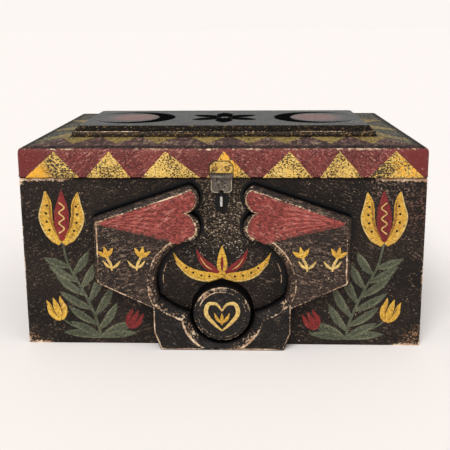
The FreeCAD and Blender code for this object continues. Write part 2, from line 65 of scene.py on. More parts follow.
# Places read from the frame
FRONT_BOARD = span("front_board")
LID = span("lid_board")
PANEL = span("lid_panel")
WING = span("right_wing")
FOOT = span("foot_block")
ROUNDEL = span("roundel")
STAPLE = span("staple")
FRONT, INNER_FRONT = FRONT_BOARD[0].y, FRONT_BOARD[1].y
INNER_BACK = span("back_board")[0].y
SIDE, SEAM = FRONT_BOARD[1].x, FRONT_BOARD[1].z
BOARD = INNER_FRONT - FRONT
RELIEF = FRONT - WING[0].y
FACE = FRONT - RELIEF
LID_FRONT, LID_SIDE = LID[0].y, LID[1].x
BORDER, BACK_BORDER = LID_SIDE - PANEL[1].x, LID[1].y - PANEL[1].y
BORDER_RISE = 4
LID_ARRIS = LID[1].z - BORDER_RISE
PANEL_CENTRE = Vector((0, (PANEL[0].y + PANEL[1].y) / 2))

# The carved outline, right of the middle
OUTER, WING_LOW = WING[1].x, 61
SHOULDER = SEAM - 31.6
TIP, NOTCH, LOBE_FOOT = (27, WING[1].z), (28, SEAM - 27.5), (28, SEAM - 54.2)
OVAL_END, FOOT_CORNER = (53.5, FOOT[1].z), (FOOT[1].x, WING[0].z)
FOOT_KNEE, FOOT_BASE = (FOOT[1].x, 16.2), (53, 0)
ROUNDEL_LEVEL = (ROUNDEL[0].z + ROUNDEL[1].z) / 2
ROUNDEL_RADIUS = ROUNDEL[1].x
SEAT_RADIUS = ROUNDEL_RADIUS + 0.3
LOBE_FULLNESS, OVAL_FULLNESS, FLOOR_FULLNESS = 1.03, 1.34, 4

SIDES = (("left", -1), ("right", 1))
FINE = 1.5
# wear is bare worn paint; dark is black paint in cuts and painted shade on walls, in hollows and in the lid's
# seam
WEAR, BLACK_AND_SHADE = "wear", "dark"


def rgb(red, green, blue):
    """A colour in sRGB steps of 0 to 255, as the linear values that shaders take."""

    def linear(step):
        level = step / 255
        return level / 12.92 if level <= 0.04045 else ((level + 0.055) / 1.055) ** 2.4

    return (linear(red), linear(green), linear(blue), 1)


# Colours in sRGB steps, how far slanted marks blend at the middle and where a broad patch (wear, paint, soot,
# painted sheen) is full
BLACK, TAN, CREAM = (13, 12, 12), (172, 136, 106), (230, 203, 170)
MIDDLE_BLEND, FULL_SHARE = 25, 0.4


class Nodes:
    """A tree of shader nodes, built up by short calls."""

    def __init__(self, tree):
        self.tree = tree

    def node(self, kind, inputs=None, **settings):
        made = self.tree.nodes.new(kind)
        for key, setting in settings.items():
            setattr(made, key, setting)
        for key, given in (inputs or {}).items():
            self.feed(made.inputs[key], given)
        return made

    def feed(self, socket, given):
        if isinstance(given, bpy.types.NodeSocket):
            self.tree.links.new(given, socket)
        else:
            socket.default_value = given

    def mix(self, share, *colours):
        """A blend of two colours, each a socket or sRGB steps."""
        first, second = (c if isinstance(c, bpy.types.NodeSocket) else rgb(*c) for c in colours)
        return self.node("ShaderNodeMix", {0: share, 6: first, 7: second}, data_type="RGBA").outputs[2]


class Look(Nodes):
    """A material with procedural marks."""

    def __init__(self, name):
        self.material = bpy.data.materials.new(name)
        self.material.use_nodes = True
        super().__init__(self.material.node_tree)
        self.shader = self.tree.nodes["Principled BSDF"]
        self.place = self.node("ShaderNodeTexCoord").outputs["Object"]

    def noise(self, size, stretch=(1, 1, 1), detail=4, shift=0, tilt=0):
        """Noise in lumps of about a size in mm, drawn out along each axis by the stretch.

        tilt turns the stretch in the plane of the front, in degrees."""
        turn = (0, math.radians(tilt), 0)
        placed = self.node(
            "ShaderNodeMapping",
            {"Vector": self.place, "Location": (shift,) * 3, "Rotation": turn, "Scale": stretch},
            vector_type="TEXTURE",
        )
        made = self.node(
            "ShaderNodeTexNoise", {"Vector": placed.outputs[0], "Scale": 1 / (size * MM), "Detail": detail}
        )
        return made.outputs["Fac"]

    def fanned(self, size, stretch, detail, tilt):
        """Noise drawn out on a slant that turns over at the middle of the front."""
        across = self.node("ShaderNodeSeparateXYZ", {0: self.place}).outputs[0]
        left, right = (self.noise(size, stretch, detail, tilt=turn) for turn in (tilt, -tilt))
        beyond = self.window(across, -MIDDLE_BLEND * MM, MIDDLE_BLEND * MM)
        return self.node("ShaderNodeMix", {0: beyond, 2: left, 3: right}).outputs[0]

    def window(self, level, low, high):
        """0 below low, 1 above high and smooth between."""
        made = self.node(
            "ShaderNodeMapRange",
            {"Value": level, "From Min": low, "From Max": high},
            interpolation_type="SMOOTHSTEP",
        )
        return made.outputs["Result"]

    def math(self, operation, first, second):
        return self.node("ShaderNodeMath", {0: first, 1: second}, operation=operation).outputs[0]

    def value(self, name):
        """A paint value of the mesh."""
        return self.node("ShaderNodeAttribute", attribute_name=name).outputs["Fac"]

    def near(self, place, radius):
        """1 around a place in mm, falling to 0 at a radius."""
        centre = [c * MM for c in place]
        gap = self.node("ShaderNodeVectorMath", {0: self.place, 1: centre}, operation="DISTANCE")
        return self.window(gap.outputs["Value"], radius * MM, FULL_SHARE * radius * MM)

    def done(self, colour, rough, height, depth, strength=0.6):
        """Sets the colour, the roughness between two limits and a bump of a depth in mm."""
        self.feed(self.shader.inputs["Base Color"], colour)
        spread = self.node("ShaderNodeMapRange", {"Value": height, "To Min": rough[0], "To Max": rough[1]})
        self.feed(self.shader.inputs["Roughness"], spread.outputs["Result"])
        bump = self.node("ShaderNodeBump", {"Height": height, "Distance": depth * MM, "Strength": strength})
        self.feed(self.shader.inputs["Normal"], bump.outputs["Normal"])
        return self.material


# Sizes in mm of the marks in old paint, and the levels of noise between which they appear
DRIFT, PATCH, FIBRE, SOIL, GRIT, PITTED, DUST, DUSTY = 40, 16, 1.5, 1.5, 1.2, 14, 1.1, 26
SPECK, CHIP, CHIPPED, BARE = 1.3, 2, 24, 7
HALVES, SOIL_WINDOW, DUST_WINDOW = (0.3, 0.7), (0.44, 0.6), (0.3, 0.6)
SPECK_WINDOW, SPECK_DROP = (0.66, 0.74), 0.3
PIT_RAISE = 0.25
CHIP_WINDOW, BARE_WINDOW = (1.82, 2.02), (0.4, 0.65)
FIBRE_SHARE = 0.65


def aged_paint(
    name, tones, rub, rub_window, grain, tilt=0, pits=None, pit_window=(0.6, 0.7), flecks=None,
    fleck_window=(0.62, 0.7), rough=(0.45, 0.75), gloss=0.25, depth=0.35, grime=0.35, lay=(1.3, 1, 1),
    more=(),
):
    """Old paint: two drifting tones, rubbed fibres, grime, pits, flecks, black cuts and painted shade, bare
    worn edges.

    lay draws the small marks out. more lists (place, radius, colour, share) for broad patches of wear, other
    paint, soot and, on the lid panel, painted sheen."""
    look = Look(name)
    # No sheen where dark is high: painted shade that takes the reflections out of cuts and hollows
    sheen = look.math("MULTIPLY", look.math("SUBTRACT", 1, look.value(BLACK_AND_SHADE)), gloss)
    look.feed(look.shader.inputs["Specular IOR Level"], sheen)
    colour = look.mix(look.window(look.noise(DRIFT), *HALVES), *tones)
    fibres = look.fanned(FIBRE, grain, 3, tilt)
    patches = look.window(look.noise(PATCH, shift=3), *HALVES)
    colour = look.mix(look.math("MULTIPLY", look.window(fibres, *rub_window), patches), colour, rub)
    soil = look.window(look.noise(SOIL, lay, detail=3, shift=13), *SOIL_WINDOW)
    colour = look.mix(look.math("MULTIPLY", soil, grime), colour, BLACK)
    grit = look.noise(GRIT, lay, detail=2, shift=7)
    if pits:
        holes = look.math("ADD", grit, look.math("MULTIPLY", look.noise(PITTED, shift=9), 0.5))
        colour = look.mix(look.window(holes, *(level + PIT_RAISE for level in pit_window)), colour, pits)
    if flecks:
        dust = look.window(look.noise(DUST, lay, detail=2, shift=11), *fleck_window)
        dusty = look.window(look.noise(DUSTY, shift=8), *DUST_WINDOW)
        colour = look.mix(look.math("MULTIPLY", dust, dusty), colour, flecks)
    # Broad patches: worn paint, other paint, soot, and on the lid panel a painted sheen
    for place, radius, patch_colour, share in more:
        specks = look.noise(SPECK, (1.4, 1, 1), shift=15)
        rubbed = look.window(specks, *(level - SPECK_DROP * share for level in SPECK_WINDOW))
        colour = look.mix(look.math("MULTIPLY", look.near(place, radius), rubbed), colour, patch_colour)
    # Black paint in cuts, and painted shade on walls, in hollows and in the lid's seam
    colour = look.mix(look.value(BLACK_AND_SHADE), colour, BLACK)
    chips = look.math("ADD", look.noise(CHIP, shift=5), look.noise(CHIPPED, shift=6))
    worn = look.window(look.math("ADD", look.value(WEAR), chips), *CHIP_WINDOW)
    patch_colour = look.mix(look.window(look.noise(BARE, shift=2), *BARE_WINDOW), TAN, CREAM)
    colour = look.mix(worn, colour, patch_colour)
    coarse = look.math("MULTIPLY", fibres, FIBRE_SHARE)
    fine = look.math("MULTIPLY", grit, 1 - FIBRE_SHARE)
    return look.done(colour, rough, look.math("ADD", coarse, fine), depth)


def bare_wood(name, tones, grain):
    """Unpainted old wood with growth rings drawn out along the grain."""
    look = Look(name)
    rings = look.noise(5, grain, detail=5)
    fibres = look.noise(0.8, grain, detail=3)
    colour = look.mix(look.window(rings, 0.35, 0.65), *tones)
    colour = look.mix(look.window(fibres, 0.6, 0.8), colour, (96, 68, 42))
    colour = look.mix(look.window(look.noise(30), 0.55, 0.8), colour, (120, 92, 62))
    return look.done(colour, (0.55, 0.8), fibres, 0.2)


def old_iron(name, tones, metallic, rough=(0.35, 0.65)):
    """Dark forged iron with rusty and rubbed places."""
    look = Look(name)
    scale = look.noise(2.5, detail=5)
    colour = look.mix(look.window(scale, 0.35, 0.65), *tones)
    colour = look.mix(look.window(look.noise(1.2, shift=4), 0.62, 0.75), colour, (96, 62, 40))
    look.shader.inputs["Metallic"].default_value = metallic
    return look.done(colour, rough, scale, 0.15)


ALONG_X, ALONG_Y = (9, 1, 1), (1, 9, 1)
BROAD = (1.6, 6, 1)
RING_OFFSET = PANEL[1].x - 49.5
# Round each ring on the lid panel: a paler grey patch, a painted sheen, and inside it a reddish oval of paint
SHEEN_AND_RED_OVALS = [
    ((across, PANEL_CENTRE.y, PANEL[1].z), radius, colour, share)
    for across in (-RING_OFFSET, RING_OFFSET)
    for radius, colour, share in ((33, (126, 118, 112), 0.6), (29, (160, 100, 92), 0.64))
]
GROUND_RUBS = [
    ((0, FRONT, SEAM - 26), 42, (112, 94, 74), 0.52),
    ((0, FRONT, SEAM - 42), 52, (190, 178, 160), 0.17),
    ((-SIDE, FRONT, 0), 16, (146, 112, 84), 0.4),
    ((SIDE, FRONT, 0), 22, (150, 112, 82), 0.46),
    ((SIDE, FRONT, SEAM - 28), 26, (104, 72, 60), 0.44),
    ((SIDE - 30, FRONT, SEAM - 6), 28, (132, 108, 92), 0.3),
]

GROUND = aged_paint(
    "ground_paint", ((30, 24, 20), (48, 38, 32)), (116, 96, 80), (0.55, 0.7), (3, 1, 1), tilt=-22,
    flecks=(184, 164, 138), fleck_window=(0.68, 0.76), gloss=0.15, grime=0.75, more=GROUND_RUBS,
)
FOOT_PAINT = aged_paint(
    "foot_paint", ((28, 25, 24), (38, 34, 31)), (88, 78, 70), (0.54, 0.7), (5, 1, 1), tilt=28,
    flecks=(156, 136, 112), fleck_window=(0.66, 0.75), gloss=0.15, grime=0.6,
)
GROUND_ENDS = aged_paint(
    "ground_paint_ends", ((33, 28, 25), (47, 39, 35)), (108, 86, 66), (0.56, 0.72), ALONG_Y,
    flecks=(170, 144, 104), fleck_window=(0.65, 0.73),
)
WING_PAINT = aged_paint(
    "carved_paint", ((64, 51, 44), (46, 38, 34)), (132, 108, 92), (0.5, 0.64), (3.4, 1, 1), tilt=-12,
    flecks=(176, 152, 126), fleck_window=(0.63, 0.71), gloss=0.15, grime=0.7,
)
HEART_FADE = ((48, 97), (58, 99.5), (68, 102), (79, 104.8), (90, 107.5))
HEART_RED = aged_paint(
    "heart_red", ((164, 76, 67), (142, 61, 54)), (206, 130, 116), (0.5, 0.66), (4.5, 1, 1), tilt=-28,
    pits=(80, 32, 30), pit_window=(0.58, 0.72), depth=1.4, grime=0.6, lay=(1.7, 1, 1),
    more=[((sign * x, FACE, z), 7, (72, 54, 47), 0.7) for x, z in HEART_FADE for sign in (-1, 1)],
)
DARK_STROKES = aged_paint(
    "heart_dark_strokes", ((118, 46, 41), (98, 38, 34)), (150, 70, 61), (0.5, 0.64), (3, 1, 1), tilt=-28,
)
PALE_STROKES = aged_paint(
    "heart_pale_strokes", ((190, 104, 92), (174, 88, 78)), (208, 136, 122), (0.5, 0.64), (3, 1, 1), tilt=-28,
)
LID_RED = aged_paint(
    "lid_red", ((130, 59, 53), (106, 47, 42)), (190, 130, 116), (0.52, 0.68), (3.6, 3.6, 1), tilt=-32,
    pits=(56, 28, 27), pit_window=(0.57, 0.7), depth=0.8, grime=0.4,
    flecks=(190, 132, 120), fleck_window=(0.6, 0.7),
    more=[((sign * LID_SIDE, LID_FRONT, LID_ARRIS - 8), 34, (108, 40, 37), 0.95) for sign in (-1, 1)],
)
BORDER_PAINT = aged_paint(
    "border_purple", ((96, 65, 60), (74, 52, 49)), (150, 120, 102), (0.5, 0.62), (4, 7, 1),
    pits=(40, 31, 27), pit_window=(0.57, 0.68), flecks=(160, 134, 108), grime=0.6, lay=BROAD,
)
BORDER_GREY = aged_paint(
    "border_grey", ((70, 69, 60), (56, 54, 49)), (126, 118, 90), (0.5, 0.66), (2, 8, 1),
    flecks=(168, 146, 96), fleck_window=(0.58, 0.68), pits=(38, 34, 30), grime=0.5, lay=BROAD,
)
DEEP_GOLD, SOOT = (234, 170, 52), (58, 47, 34)
MUSTARD = aged_paint(
    "mustard", ((240, 198, 104), (218, 178, 94)), (250, 228, 160), (0.54, 0.7), (2, 2, 1), tilt=-32,
    pits=(74, 56, 34), pit_window=(0.5, 0.59), depth=0.6, grime=0.3,
    more=[
        ((-158, LID_FRONT, SEAM + 3), 17, DEEP_GOLD, 1),
        ((-136, LID_FRONT, SEAM + 12), 20, SOOT, 0.62),
        ((2, LID_FRONT, SEAM + 14), 20, DEEP_GOLD, 0.7),
        ((157, LID_FRONT, SEAM + 10), 20, DEEP_GOLD, 0.52),
        ((124, LID_FRONT, SEAM + 4), 17, SOOT, 0.7),
    ],
)
OLIVE_GOLD = aged_paint(
    "olive_gold", ((140, 118, 64), (156, 130, 72)), (188, 164, 104), (0.58, 0.75), (2, 2, 1),
    pits=(60, 48, 34), pit_window=(0.54, 0.64), lay=(1.3, 3, 1),
)
DULL_OLIVE = aged_paint(
    "dull_olive", ((140, 120, 76), (120, 104, 68)), (186, 162, 108), (0.52, 0.66), (2, 7, 1),
    pits=(70, 62, 46), pit_window=(0.58, 0.7), grime=0.15, lay=BROAD,
)
# Dusty black paint whose grey tones also stand for the sheen of the satin top, a painted sheen
PANEL_BLACK_AND_SHEEN = aged_paint(
    "panel_black_and_sheen", ((68, 68, 67), (80, 79, 77)), (116, 112, 106), (0.56, 0.76), ALONG_X,
    rough=(0.38, 0.52), gloss=0.5, flecks=(140, 130, 112), pits=(30, 28, 26), pit_window=(0.58, 0.7),
    grime=0.2, lay=BROAD, more=SHEEN_AND_RED_OVALS,
)
GILT = aged_paint(
    "moulding_brown", ((42, 31, 20), (30, 22, 15)), (154, 116, 66), (0.55, 0.66), (2.4, 1, 1),
    pits=(20, 16, 12), pit_window=(0.54, 0.68), flecks=(180, 142, 82), fleck_window=(0.62, 0.7),
)
BEVEL_BROWN = aged_paint(
    "bevel_brown", ((28, 22, 16), (20, 16, 12)), (104, 84, 58), (0.54, 0.66), (3, 1, 1),
    flecks=(158, 132, 92), fleck_window=(0.63, 0.71), gloss=0.08, grime=0.6,
)
LEAF_GREEN = aged_paint(
    "leaf_green", ((76, 79, 60), (90, 93, 73)), (118, 120, 96), (0.5, 0.72), (1, 1, 4), tilt=20,
    pits=(48, 48, 38), pit_window=(0.58, 0.72),
)
LEAF_LIGHT = aged_paint(
    "leaf_light", ((112, 112, 86), (128, 126, 98)), (150, 146, 116), (0.52, 0.7), (1, 1, 3), tilt=20,
    pits=(70, 72, 54), pit_window=(0.5, 0.64),
)
LEAF_DARK = aged_paint(
    "leaf_dark", ((44, 44, 34), (54, 55, 42)), (76, 78, 60), (0.5, 0.7), (1, 1, 3), tilt=20,
)
OCHRE = aged_paint(
    "ochre", ((164, 116, 42), (146, 100, 38)), (206, 158, 66), (0.52, 0.66), (1, 1, 2), tilt=20,
)
YELLOW = aged_paint(
    "yellow", ((226, 178, 66), (212, 160, 60)), (242, 208, 120), (0.56, 0.74), (1, 1, 3), tilt=20,
    pits=(130, 92, 40), pit_window=(0.6, 0.72),
)
RED = aged_paint(
    "brick_red", ((140, 44, 40), (120, 36, 36)), (176, 92, 82), (0.58, 0.76), (1, 1, 3), tilt=20,
    pits=(70, 24, 24), pit_window=(0.6, 0.72),
)
BUFF = aged_paint("cream_line", ((228, 196, 122), (216, 178, 102)), (240, 220, 164), (0.6, 0.8), (1, 1, 1))
# Pale worn paint, also a painted highlight on the edge of the oval's groove
EDGE_WEAR_AND_GLINT = aged_paint("edge_wear_and_glint", (TAN, (140, 110, 86)), CREAM, (0.5, 0.64), (1, 1, 1), pits=(52, 43, 36))
LINE_BLACK = aged_paint("line_black", ((12, 11, 11), (18, 16, 15)), (60, 52, 46), (0.66, 0.82), (1, 1, 1))
WOOD = bare_wood("bare_wood", ((170, 130, 86), (146, 108, 70)), ALONG_X)
WOOD_ENDS = bare_wood("bare_wood_ends", ((166, 126, 84), (144, 106, 68)), ALONG_Y)
PLATE_PAINT = aged_paint(
    "plate_paint", ((226, 180, 84), (204, 160, 76)), (244, 212, 132), (0.52, 0.72), (2, 1, 1),
    pits=(66, 52, 36), pit_window=(0.54, 0.64), gloss=0.4,
)
LEAF_PAINT = aged_paint(
    "leaf_paint", ((100, 88, 77), (80, 70, 61)), (164, 148, 130), (0.52, 0.68), (2, 1, 1),
    pits=(36, 31, 27), pit_window=(0.54, 0.66), gloss=0.45,
)
# Pale paint for the hasp leaf's edges: worn paint and a painted highlight
LEAF_EDGE = aged_paint("leaf_edge", ((176, 160, 138), (150, 134, 114)), CREAM, (0.54, 0.68), (1, 1, 1))
NAIL_PAINT = aged_paint(
    "nail_paint", ((176, 132, 58), (150, 110, 50)), (214, 172, 96), (0.55, 0.7), (1, 1, 1), pits=(54, 42, 28),
)
IRON = old_iron("old_iron", ((62, 54, 48), (84, 76, 70)), 0.6)
SCREW_IRON = old_iron("screw_iron", ((98, 88, 78), (134, 122, 108)), 0.6)
# Pale iron for the staple: rubbed metal and a painted highlight
BRIGHT_IRON = old_iron("rubbed_and_highlit_iron", ((176, 170, 164), (214, 209, 204)), 0.5, (0.2, 0.4))


class Plane:
    """A flat paint surface: across and up are its directions, and lift stands out of it."""

    def __init__(self, origin, across, up):
        self.origin, self.across, self.up = Vector(origin), Vector(across), Vector(up).normalized()
        self.out = self.across.cross(self.up)

    def __call__(self, u, v, lift=0):
        return self.origin + self.across * u + self.up * v + self.out * lift

    def raised(self, lift):
        return Plane(self.origin + self.out * lift, self.across, self.up)


def facing(depth, level=0):
    """An upright plane that faces the viewer."""
    return Plane((0, depth, level), (1, 0, 0), (0, 0, 1))


ON_FRONT, ON_CARVING = facing(FRONT), facing(FACE)
TOUCHING = 1e-5
SKIN_SHARP, METAL_SHARP = math.radians(38), math.radians(40)


def placed(name, data):
    """A new object in the scene."""
    made = bpy.data.objects.new(name, data)
    bpy.context.scene.collection.objects.link(made)
    return made


def add_piece(mesh, sharp, body, slot, *nodes):
    """Makes a smooth object of a mesh, riding on a body and standing for any nodes that are named."""
    mesh.polygons.foreach_set("use_smooth", [True] * len(mesh.polygons))
    mesh.set_sharp_from_angle(angle=sharp)
    made = placed(mesh.name, mesh)
    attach(made, body)
    if nodes:
        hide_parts(*nodes)


class Skin:
    """Points, faces and paint values of one piece, gathered in mm."""

    def __init__(self):
        self.points, self.faces, self.kinds = [], [], []
        self.values = {WEAR: [], BLACK_AND_SHADE: []}

    def point(self, place, wear=0.0, dark=0.0):
        self.points.append(Vector(place))
        self.values[WEAR].append(wear)
        self.values[BLACK_AND_SHADE].append(dark)
        return len(self.points) - 1

    def ring(self, places, wear=0.0, dark=0.0):
        """A closed ring of points. Neighbours in the same place are one point. wear may be a list."""
        wears = wear if isinstance(wear, list) else [wear] * len(places)
        made = []
        for place, rub in zip(places, wears):
            same = made and (self.points[made[-1]] - Vector(place)).length < TOUCHING
            made.append(made[-1] if same else self.point(place, rub, dark))
        if (self.points[made[0]] - self.points[made[-1]]).length < TOUCHING:
            made = [made[0] if i == made[-1] else i for i in made]
        return made

    def face(self, corners, kind=0):
        corners = [c for i, c in enumerate(corners) if c != corners[i - 1]]
        if len(corners) > 2:
            self.faces.append(corners)
            self.kinds.append(kind)

    def bridge(self, lower, upper, kind=0):
        """Joins two rings that run anticlockwise round the way from lower to upper."""
        count = len(lower)
        for i in range(count):
            j = (i + 1) % count
            self.face((lower[i], lower[j], upper[j], upper[i]), kind)

    def stack(self, rings):
        """Joins rings in a stack and closes the first of them."""
        for lower, upper in zip(rings, rings[1:]):
            self.bridge(lower, upper)
        self.face(list(reversed(rings[0])))

    def fill(self, ring, flat, plane, step, lift=0.0, kind=0, values=None):
        """Closes a ring that lies in a plane with triangles, with points a step apart inside it.

        flat is the ring in the plane's own coordinates. values gives an inner point's (sink, wear, dark)."""
        kept = [i for i in range(len(ring)) if ring[i] != ring[i - 1]]
        ring, flat = [ring[i] for i in kept], [flat[i] for i in kept]
        low = [min(p[axis] for p in flat) for axis in (0, 1)]
        high = [max(p[axis] for p in flat) for axis in (0, 1)]
        corners = [Vector(p[:2]) for p in flat]
        extra = []
        for row in range(1, int((high[1] - low[1]) / step) + 1):
            for column in range(1, int((high[0] - low[0]) / step) + 1):
                shift = (row % 2) * step / 2
                extra.append(Vector((low[0] + column * step - shift, low[1] + row * step)))
        extra = [p for p in extra if inside(p, corners) and clear_of(p, corners, step / 2)]
        loop = list(range(len(corners)))
        made, _, faces, sources, _, _ = delaunay_2d_cdt(corners + extra, [], [loop], 1, 1e-6)
        index = []
        for place, source in zip(made, sources):
            if source and source[0] < len(ring):
                index.append(ring[source[0]])
            else:
                sink, wear, dark = values(place) if values else (0.0, 0.0, 0.0)
                index.append(self.point(plane(place[0], place[1], lift - sink), wear, dark))
        for face in faces:
            self.face([index[i] for i in face], kind)

    def piece(self, name, body, slot, looks, *nodes):
        """Makes the object, with a look for each kind of face."""
        mesh = bpy.data.meshes.new(name)
        mesh.from_pydata([p * MM for p in self.points], [], self.faces)
        for value, levels in self.values.items():
            mesh.attributes.new(value, "FLOAT", "POINT").data.foreach_set("value", levels)
        for look in looks:
            mesh.materials.append(look)
        mesh.polygons.foreach_set("material_index", self.kinds)
        add_piece(mesh, SKIN_SHARP, body, slot, *nodes)


def inside(place, loop):
    """Whether a place lies inside a closed loop."""
    crossings = False
    for first, last in zip(loop, loop[1:] + loop[:1]):
        if (first.y > place.y) != (last.y > place.y):
            along = (place.y - first.y) / (last.y - first.y)
            crossings ^= place.x < first.x + along * (last.x - first.x)
    return crossings


def clear_of(place, loop, gap):
    """Whether a place keeps a gap from each point of a loop."""
    return all((place - corner).length_squared > gap * gap for corner in loop)


def line(start, end, step=FINE):
    """Points from start up to, but not at, end."""
    start, end = Vector(start), Vector(end)
    count = max(1, round((end - start).length / step))
    return [start.lerp(end, i / count) for i in range(count)]


def arc(start, end, fullness, turn, step=FINE):
    """Points from start up to, but not at, end on a short arc, anticlockwise where turn is 1."""
    start, end = Vector(start), Vector(end)
    half = (end - start) / 2
    radius = fullness * half.length
    height = math.sqrt(radius**2 - half.length**2)
    centre = start + half + Vector((-half.y, half.x)).normalized() * height * turn
    first = math.atan2(*(start - centre).yx)
    sweep = 2 * math.asin(half.length / radius) * turn
    count = max(2, round(abs(sweep) * radius / step))
    angles = [first + sweep * i / count for i in range(count)]
    return [centre + radius * Vector((math.cos(a), math.sin(a))) for a in angles]


def circle(count):
    """Directions all the way round, anticlockwise."""
    turns = [2 * math.pi * i / count for i in range(count)]
    return [Vector((math.cos(a), math.sin(a))) for a in turns]


def uneven(place, scale, layer):
    """Smooth noise over a plane, about -1 to 1. Each layer is another pattern."""
    return noise.noise((place.x * scale, place.y * scale, layer))


def mirrored(points):
    """The outline on the other side of the middle, still anticlockwise."""
    return [Vector((-p.x, p.y)) for p in reversed(points)]


def eased(widths, rounds):
    """Edge widths round an outline, blended into their neighbours. A width of 0 stays."""
    for _ in range(rounds):
        count = len(widths)
        sides = [(widths[i - 1] or widths[i], widths[(i + 1) % count] or widths[i]) for i in range(count)]
        widths = [width and (width + sum(side) / 2) / 2 for width, side in zip(widths, sides)]
    return widths


LOOP_REACH = 9
MITRE_LIMIT, MITRE_TURN = 2.2, 0.25
KEPT_SHARE, KEPT_SLACK = 0.9, 0.01


def inset(outline, widths):
    """The outline moved inwards by the width of each of its edges, gathered up where corners fold it."""
    count = len(outline)
    moved = []
    for i, place in enumerate(outline):
        before = (place - outline[i - 1]).normalized()
        after = (outline[(i + 1) % count] - place).normalized()
        first, last = Vector((-before.y, before.x)), Vector((-after.y, after.x))
        near, far = widths[i - 1], widths[i]
        turn = first.x * last.y - first.y * last.x
        if abs(turn) > MITRE_TURN:
            shift = Vector((near * last.y - far * first.y, far * first.x - near * last.x)) / turn
            longest = MITRE_LIMIT * max(abs(near), abs(far))
            if shift.length > longest:
                shift *= longest / shift.length
        else:
            shift = (first + last).normalized() * (near + far) / 2
        moved.append(place + shift)
    clear = [i for i in range(count) if clear_of_edges(moved[i], outline, widths)]
    for i in set(range(count)).difference(clear):
        moved[i] = moved[min(clear, key=lambda j: min((i - j) % count, (j - i) % count))]
    return untangled(moved)


def untangled(outline):
    """The outline with each small loop drawn in to the place where the outline crosses itself."""
    count = len(outline)
    for i in range(count):
        for ahead in range(2, min(LOOP_REACH, count // 2)):
            j = i + ahead
            ends = [outline[k % count] for k in (i, i + 1, j, j + 1)]
            crossing = intersect_line_line_2d(*ends)
            if crossing:
                for k in range(i + 1, j + 1):
                    outline[k % count] = crossing
    return outline


def clear_of_edges(place, outline, widths):
    """Whether a place keeps about the width of each edge away from that edge."""
    for i, width in enumerate(widths):
        start, end = outline[i], outline[(i + 1) % len(outline)]
        x, y = place.x - start.x, place.y - start.y
        along_x, along_y = end.x - start.x, end.y - start.y
        share = (x * along_x + y * along_y) / (along_x * along_x + along_y * along_y)
        share = min(1, max(0, share))
        if math.hypot(x - share * along_x, y - share * along_y) < KEPT_SHARE * width - KEPT_SLACK:
            return False
    return True


def shifted(outline, inward):
    """The outline moved inwards by one width all round."""
    return inset(outline, [inward] * len(outline))


BEVEL_SLOPE, WALL_LEAST, DROP_LEAST = 0.85, 2, 0.3
ARRIS = 0.45
SPECK_REACH, SPECK_SHARE = 8, 0.6
BEVEL_VARIES, BEVEL_LUMPS = 0.16, 0.09
NOTCH_POINTS = 4


def edging(stretches, rounds):
    """The outline of (points, width, wear) stretches, with the bevel's width and wear along its edges."""
    outline, widths, wears = [], [], []
    for points, width, wear in stretches:
        outline += points
        widths += [width] * len(points)
        wears += [wear] * len(points)
    return outline, eased(widths, rounds), eased(wears, rounds)


def carved(name, outline, widths, wears, node, look, arris_wear):
    """A relief piece: dark upright walls, a bevel of varying width, a worn arris and a flat face."""
    skin = Skin()
    bevels = [width * (1 + BEVEL_VARIES * uneven(p, BEVEL_LUMPS, 3)) for width, p in zip(widths, outline)]
    means = [(bevels[i - 1] + bevel) / 2 for i, bevel in enumerate(bevels)]
    drops = [min(RELIEF - WALL_LEAST, BEVEL_SLOPE * mean + DROP_LEAST) for mean in means]

    def ring(share, extra, rise, wear, dark):
        moved = inset(outline, [w * share + (extra if w else 0) for w in bevels])
        lifts = [0 if rise is None else RELIEF - drop * (1 - rise) for drop in drops]
        rubs = [wear * (rub if share < 1 else arris_wear) for rub in wears]
        return moved, skin.ring([ON_FRONT(p.x, p.y, lift) for p, lift in zip(moved, lifts)], rubs, dark)

    def specks(place):
        gap = min((place - p).length for p in flat)
        return 0, SPECK_SHARE * arris_wear * max(0, 1 - gap / SPECK_REACH), 0

    # Steps of (share, extra, rise, wear, dark). The walls and the foot of the bevel are dark: black paint and
    # painted shade in the cut round the relief, with no sheen
    steps = (
        (0, 0, None, 0, 1),
        (0, 0, -0.03, 0, 1),
        (0, 0.12, 0.04, 0.3, 0.85),
        (0.3, 0, 0.32, 0.9, 0.2),
        (0.85, 0, 0.87, 1, 0),
        (1, -0.15, 0.98, 0.88, 0),
        (1, ARRIS, 1, 0.94, 0),
        (1, ARRIS * 2.4, 1, 0.6, 0),
    )
    rings = [ring(*step) for step in steps]
    skin.stack([made for _, made in rings])
    flat, top = rings[-1]
    skin.fill(top, flat, ON_FRONT, step=2.2, lift=RELIEF, values=specks)
    skin.piece(name, "box", "carved_paint", [look], node)


def wing_outline():
    """The right wing's outline, anticlockwise, with the bevel's width and wear along each stretch."""
    upper_lobe, lower_lobe = arc(TIP, NOTCH, LOBE_FULLNESS, 1), arc(NOTCH, LOBE_FOOT, LOBE_FULLNESS, 1)
    stretches = (
        (line((OUTER, WING_LOW), (OUTER, SHOULDER)), 3.6, 0.62),
        (line((OUTER, SHOULDER), TIP), 4.6, 0.5),
        (upper_lobe[:-NOTCH_POINTS], 2.4, 0.78),
        (upper_lobe[-NOTCH_POINTS:] + lower_lobe[:NOTCH_POINTS], 0.8, 0.7),
        (lower_lobe[NOTCH_POINTS:], 3.6, 0.78),
        (arc(LOBE_FOOT, OVAL_END, OVAL_FULLNESS, -1), 6.8, 0.81),
        ([Vector(OVAL_END)], 0, 0),
        (line(FOOT_CORNER, (OUTER, WING_LOW)), 1.4, 0.6),
    )
    return edging(stretches, rounds=4)


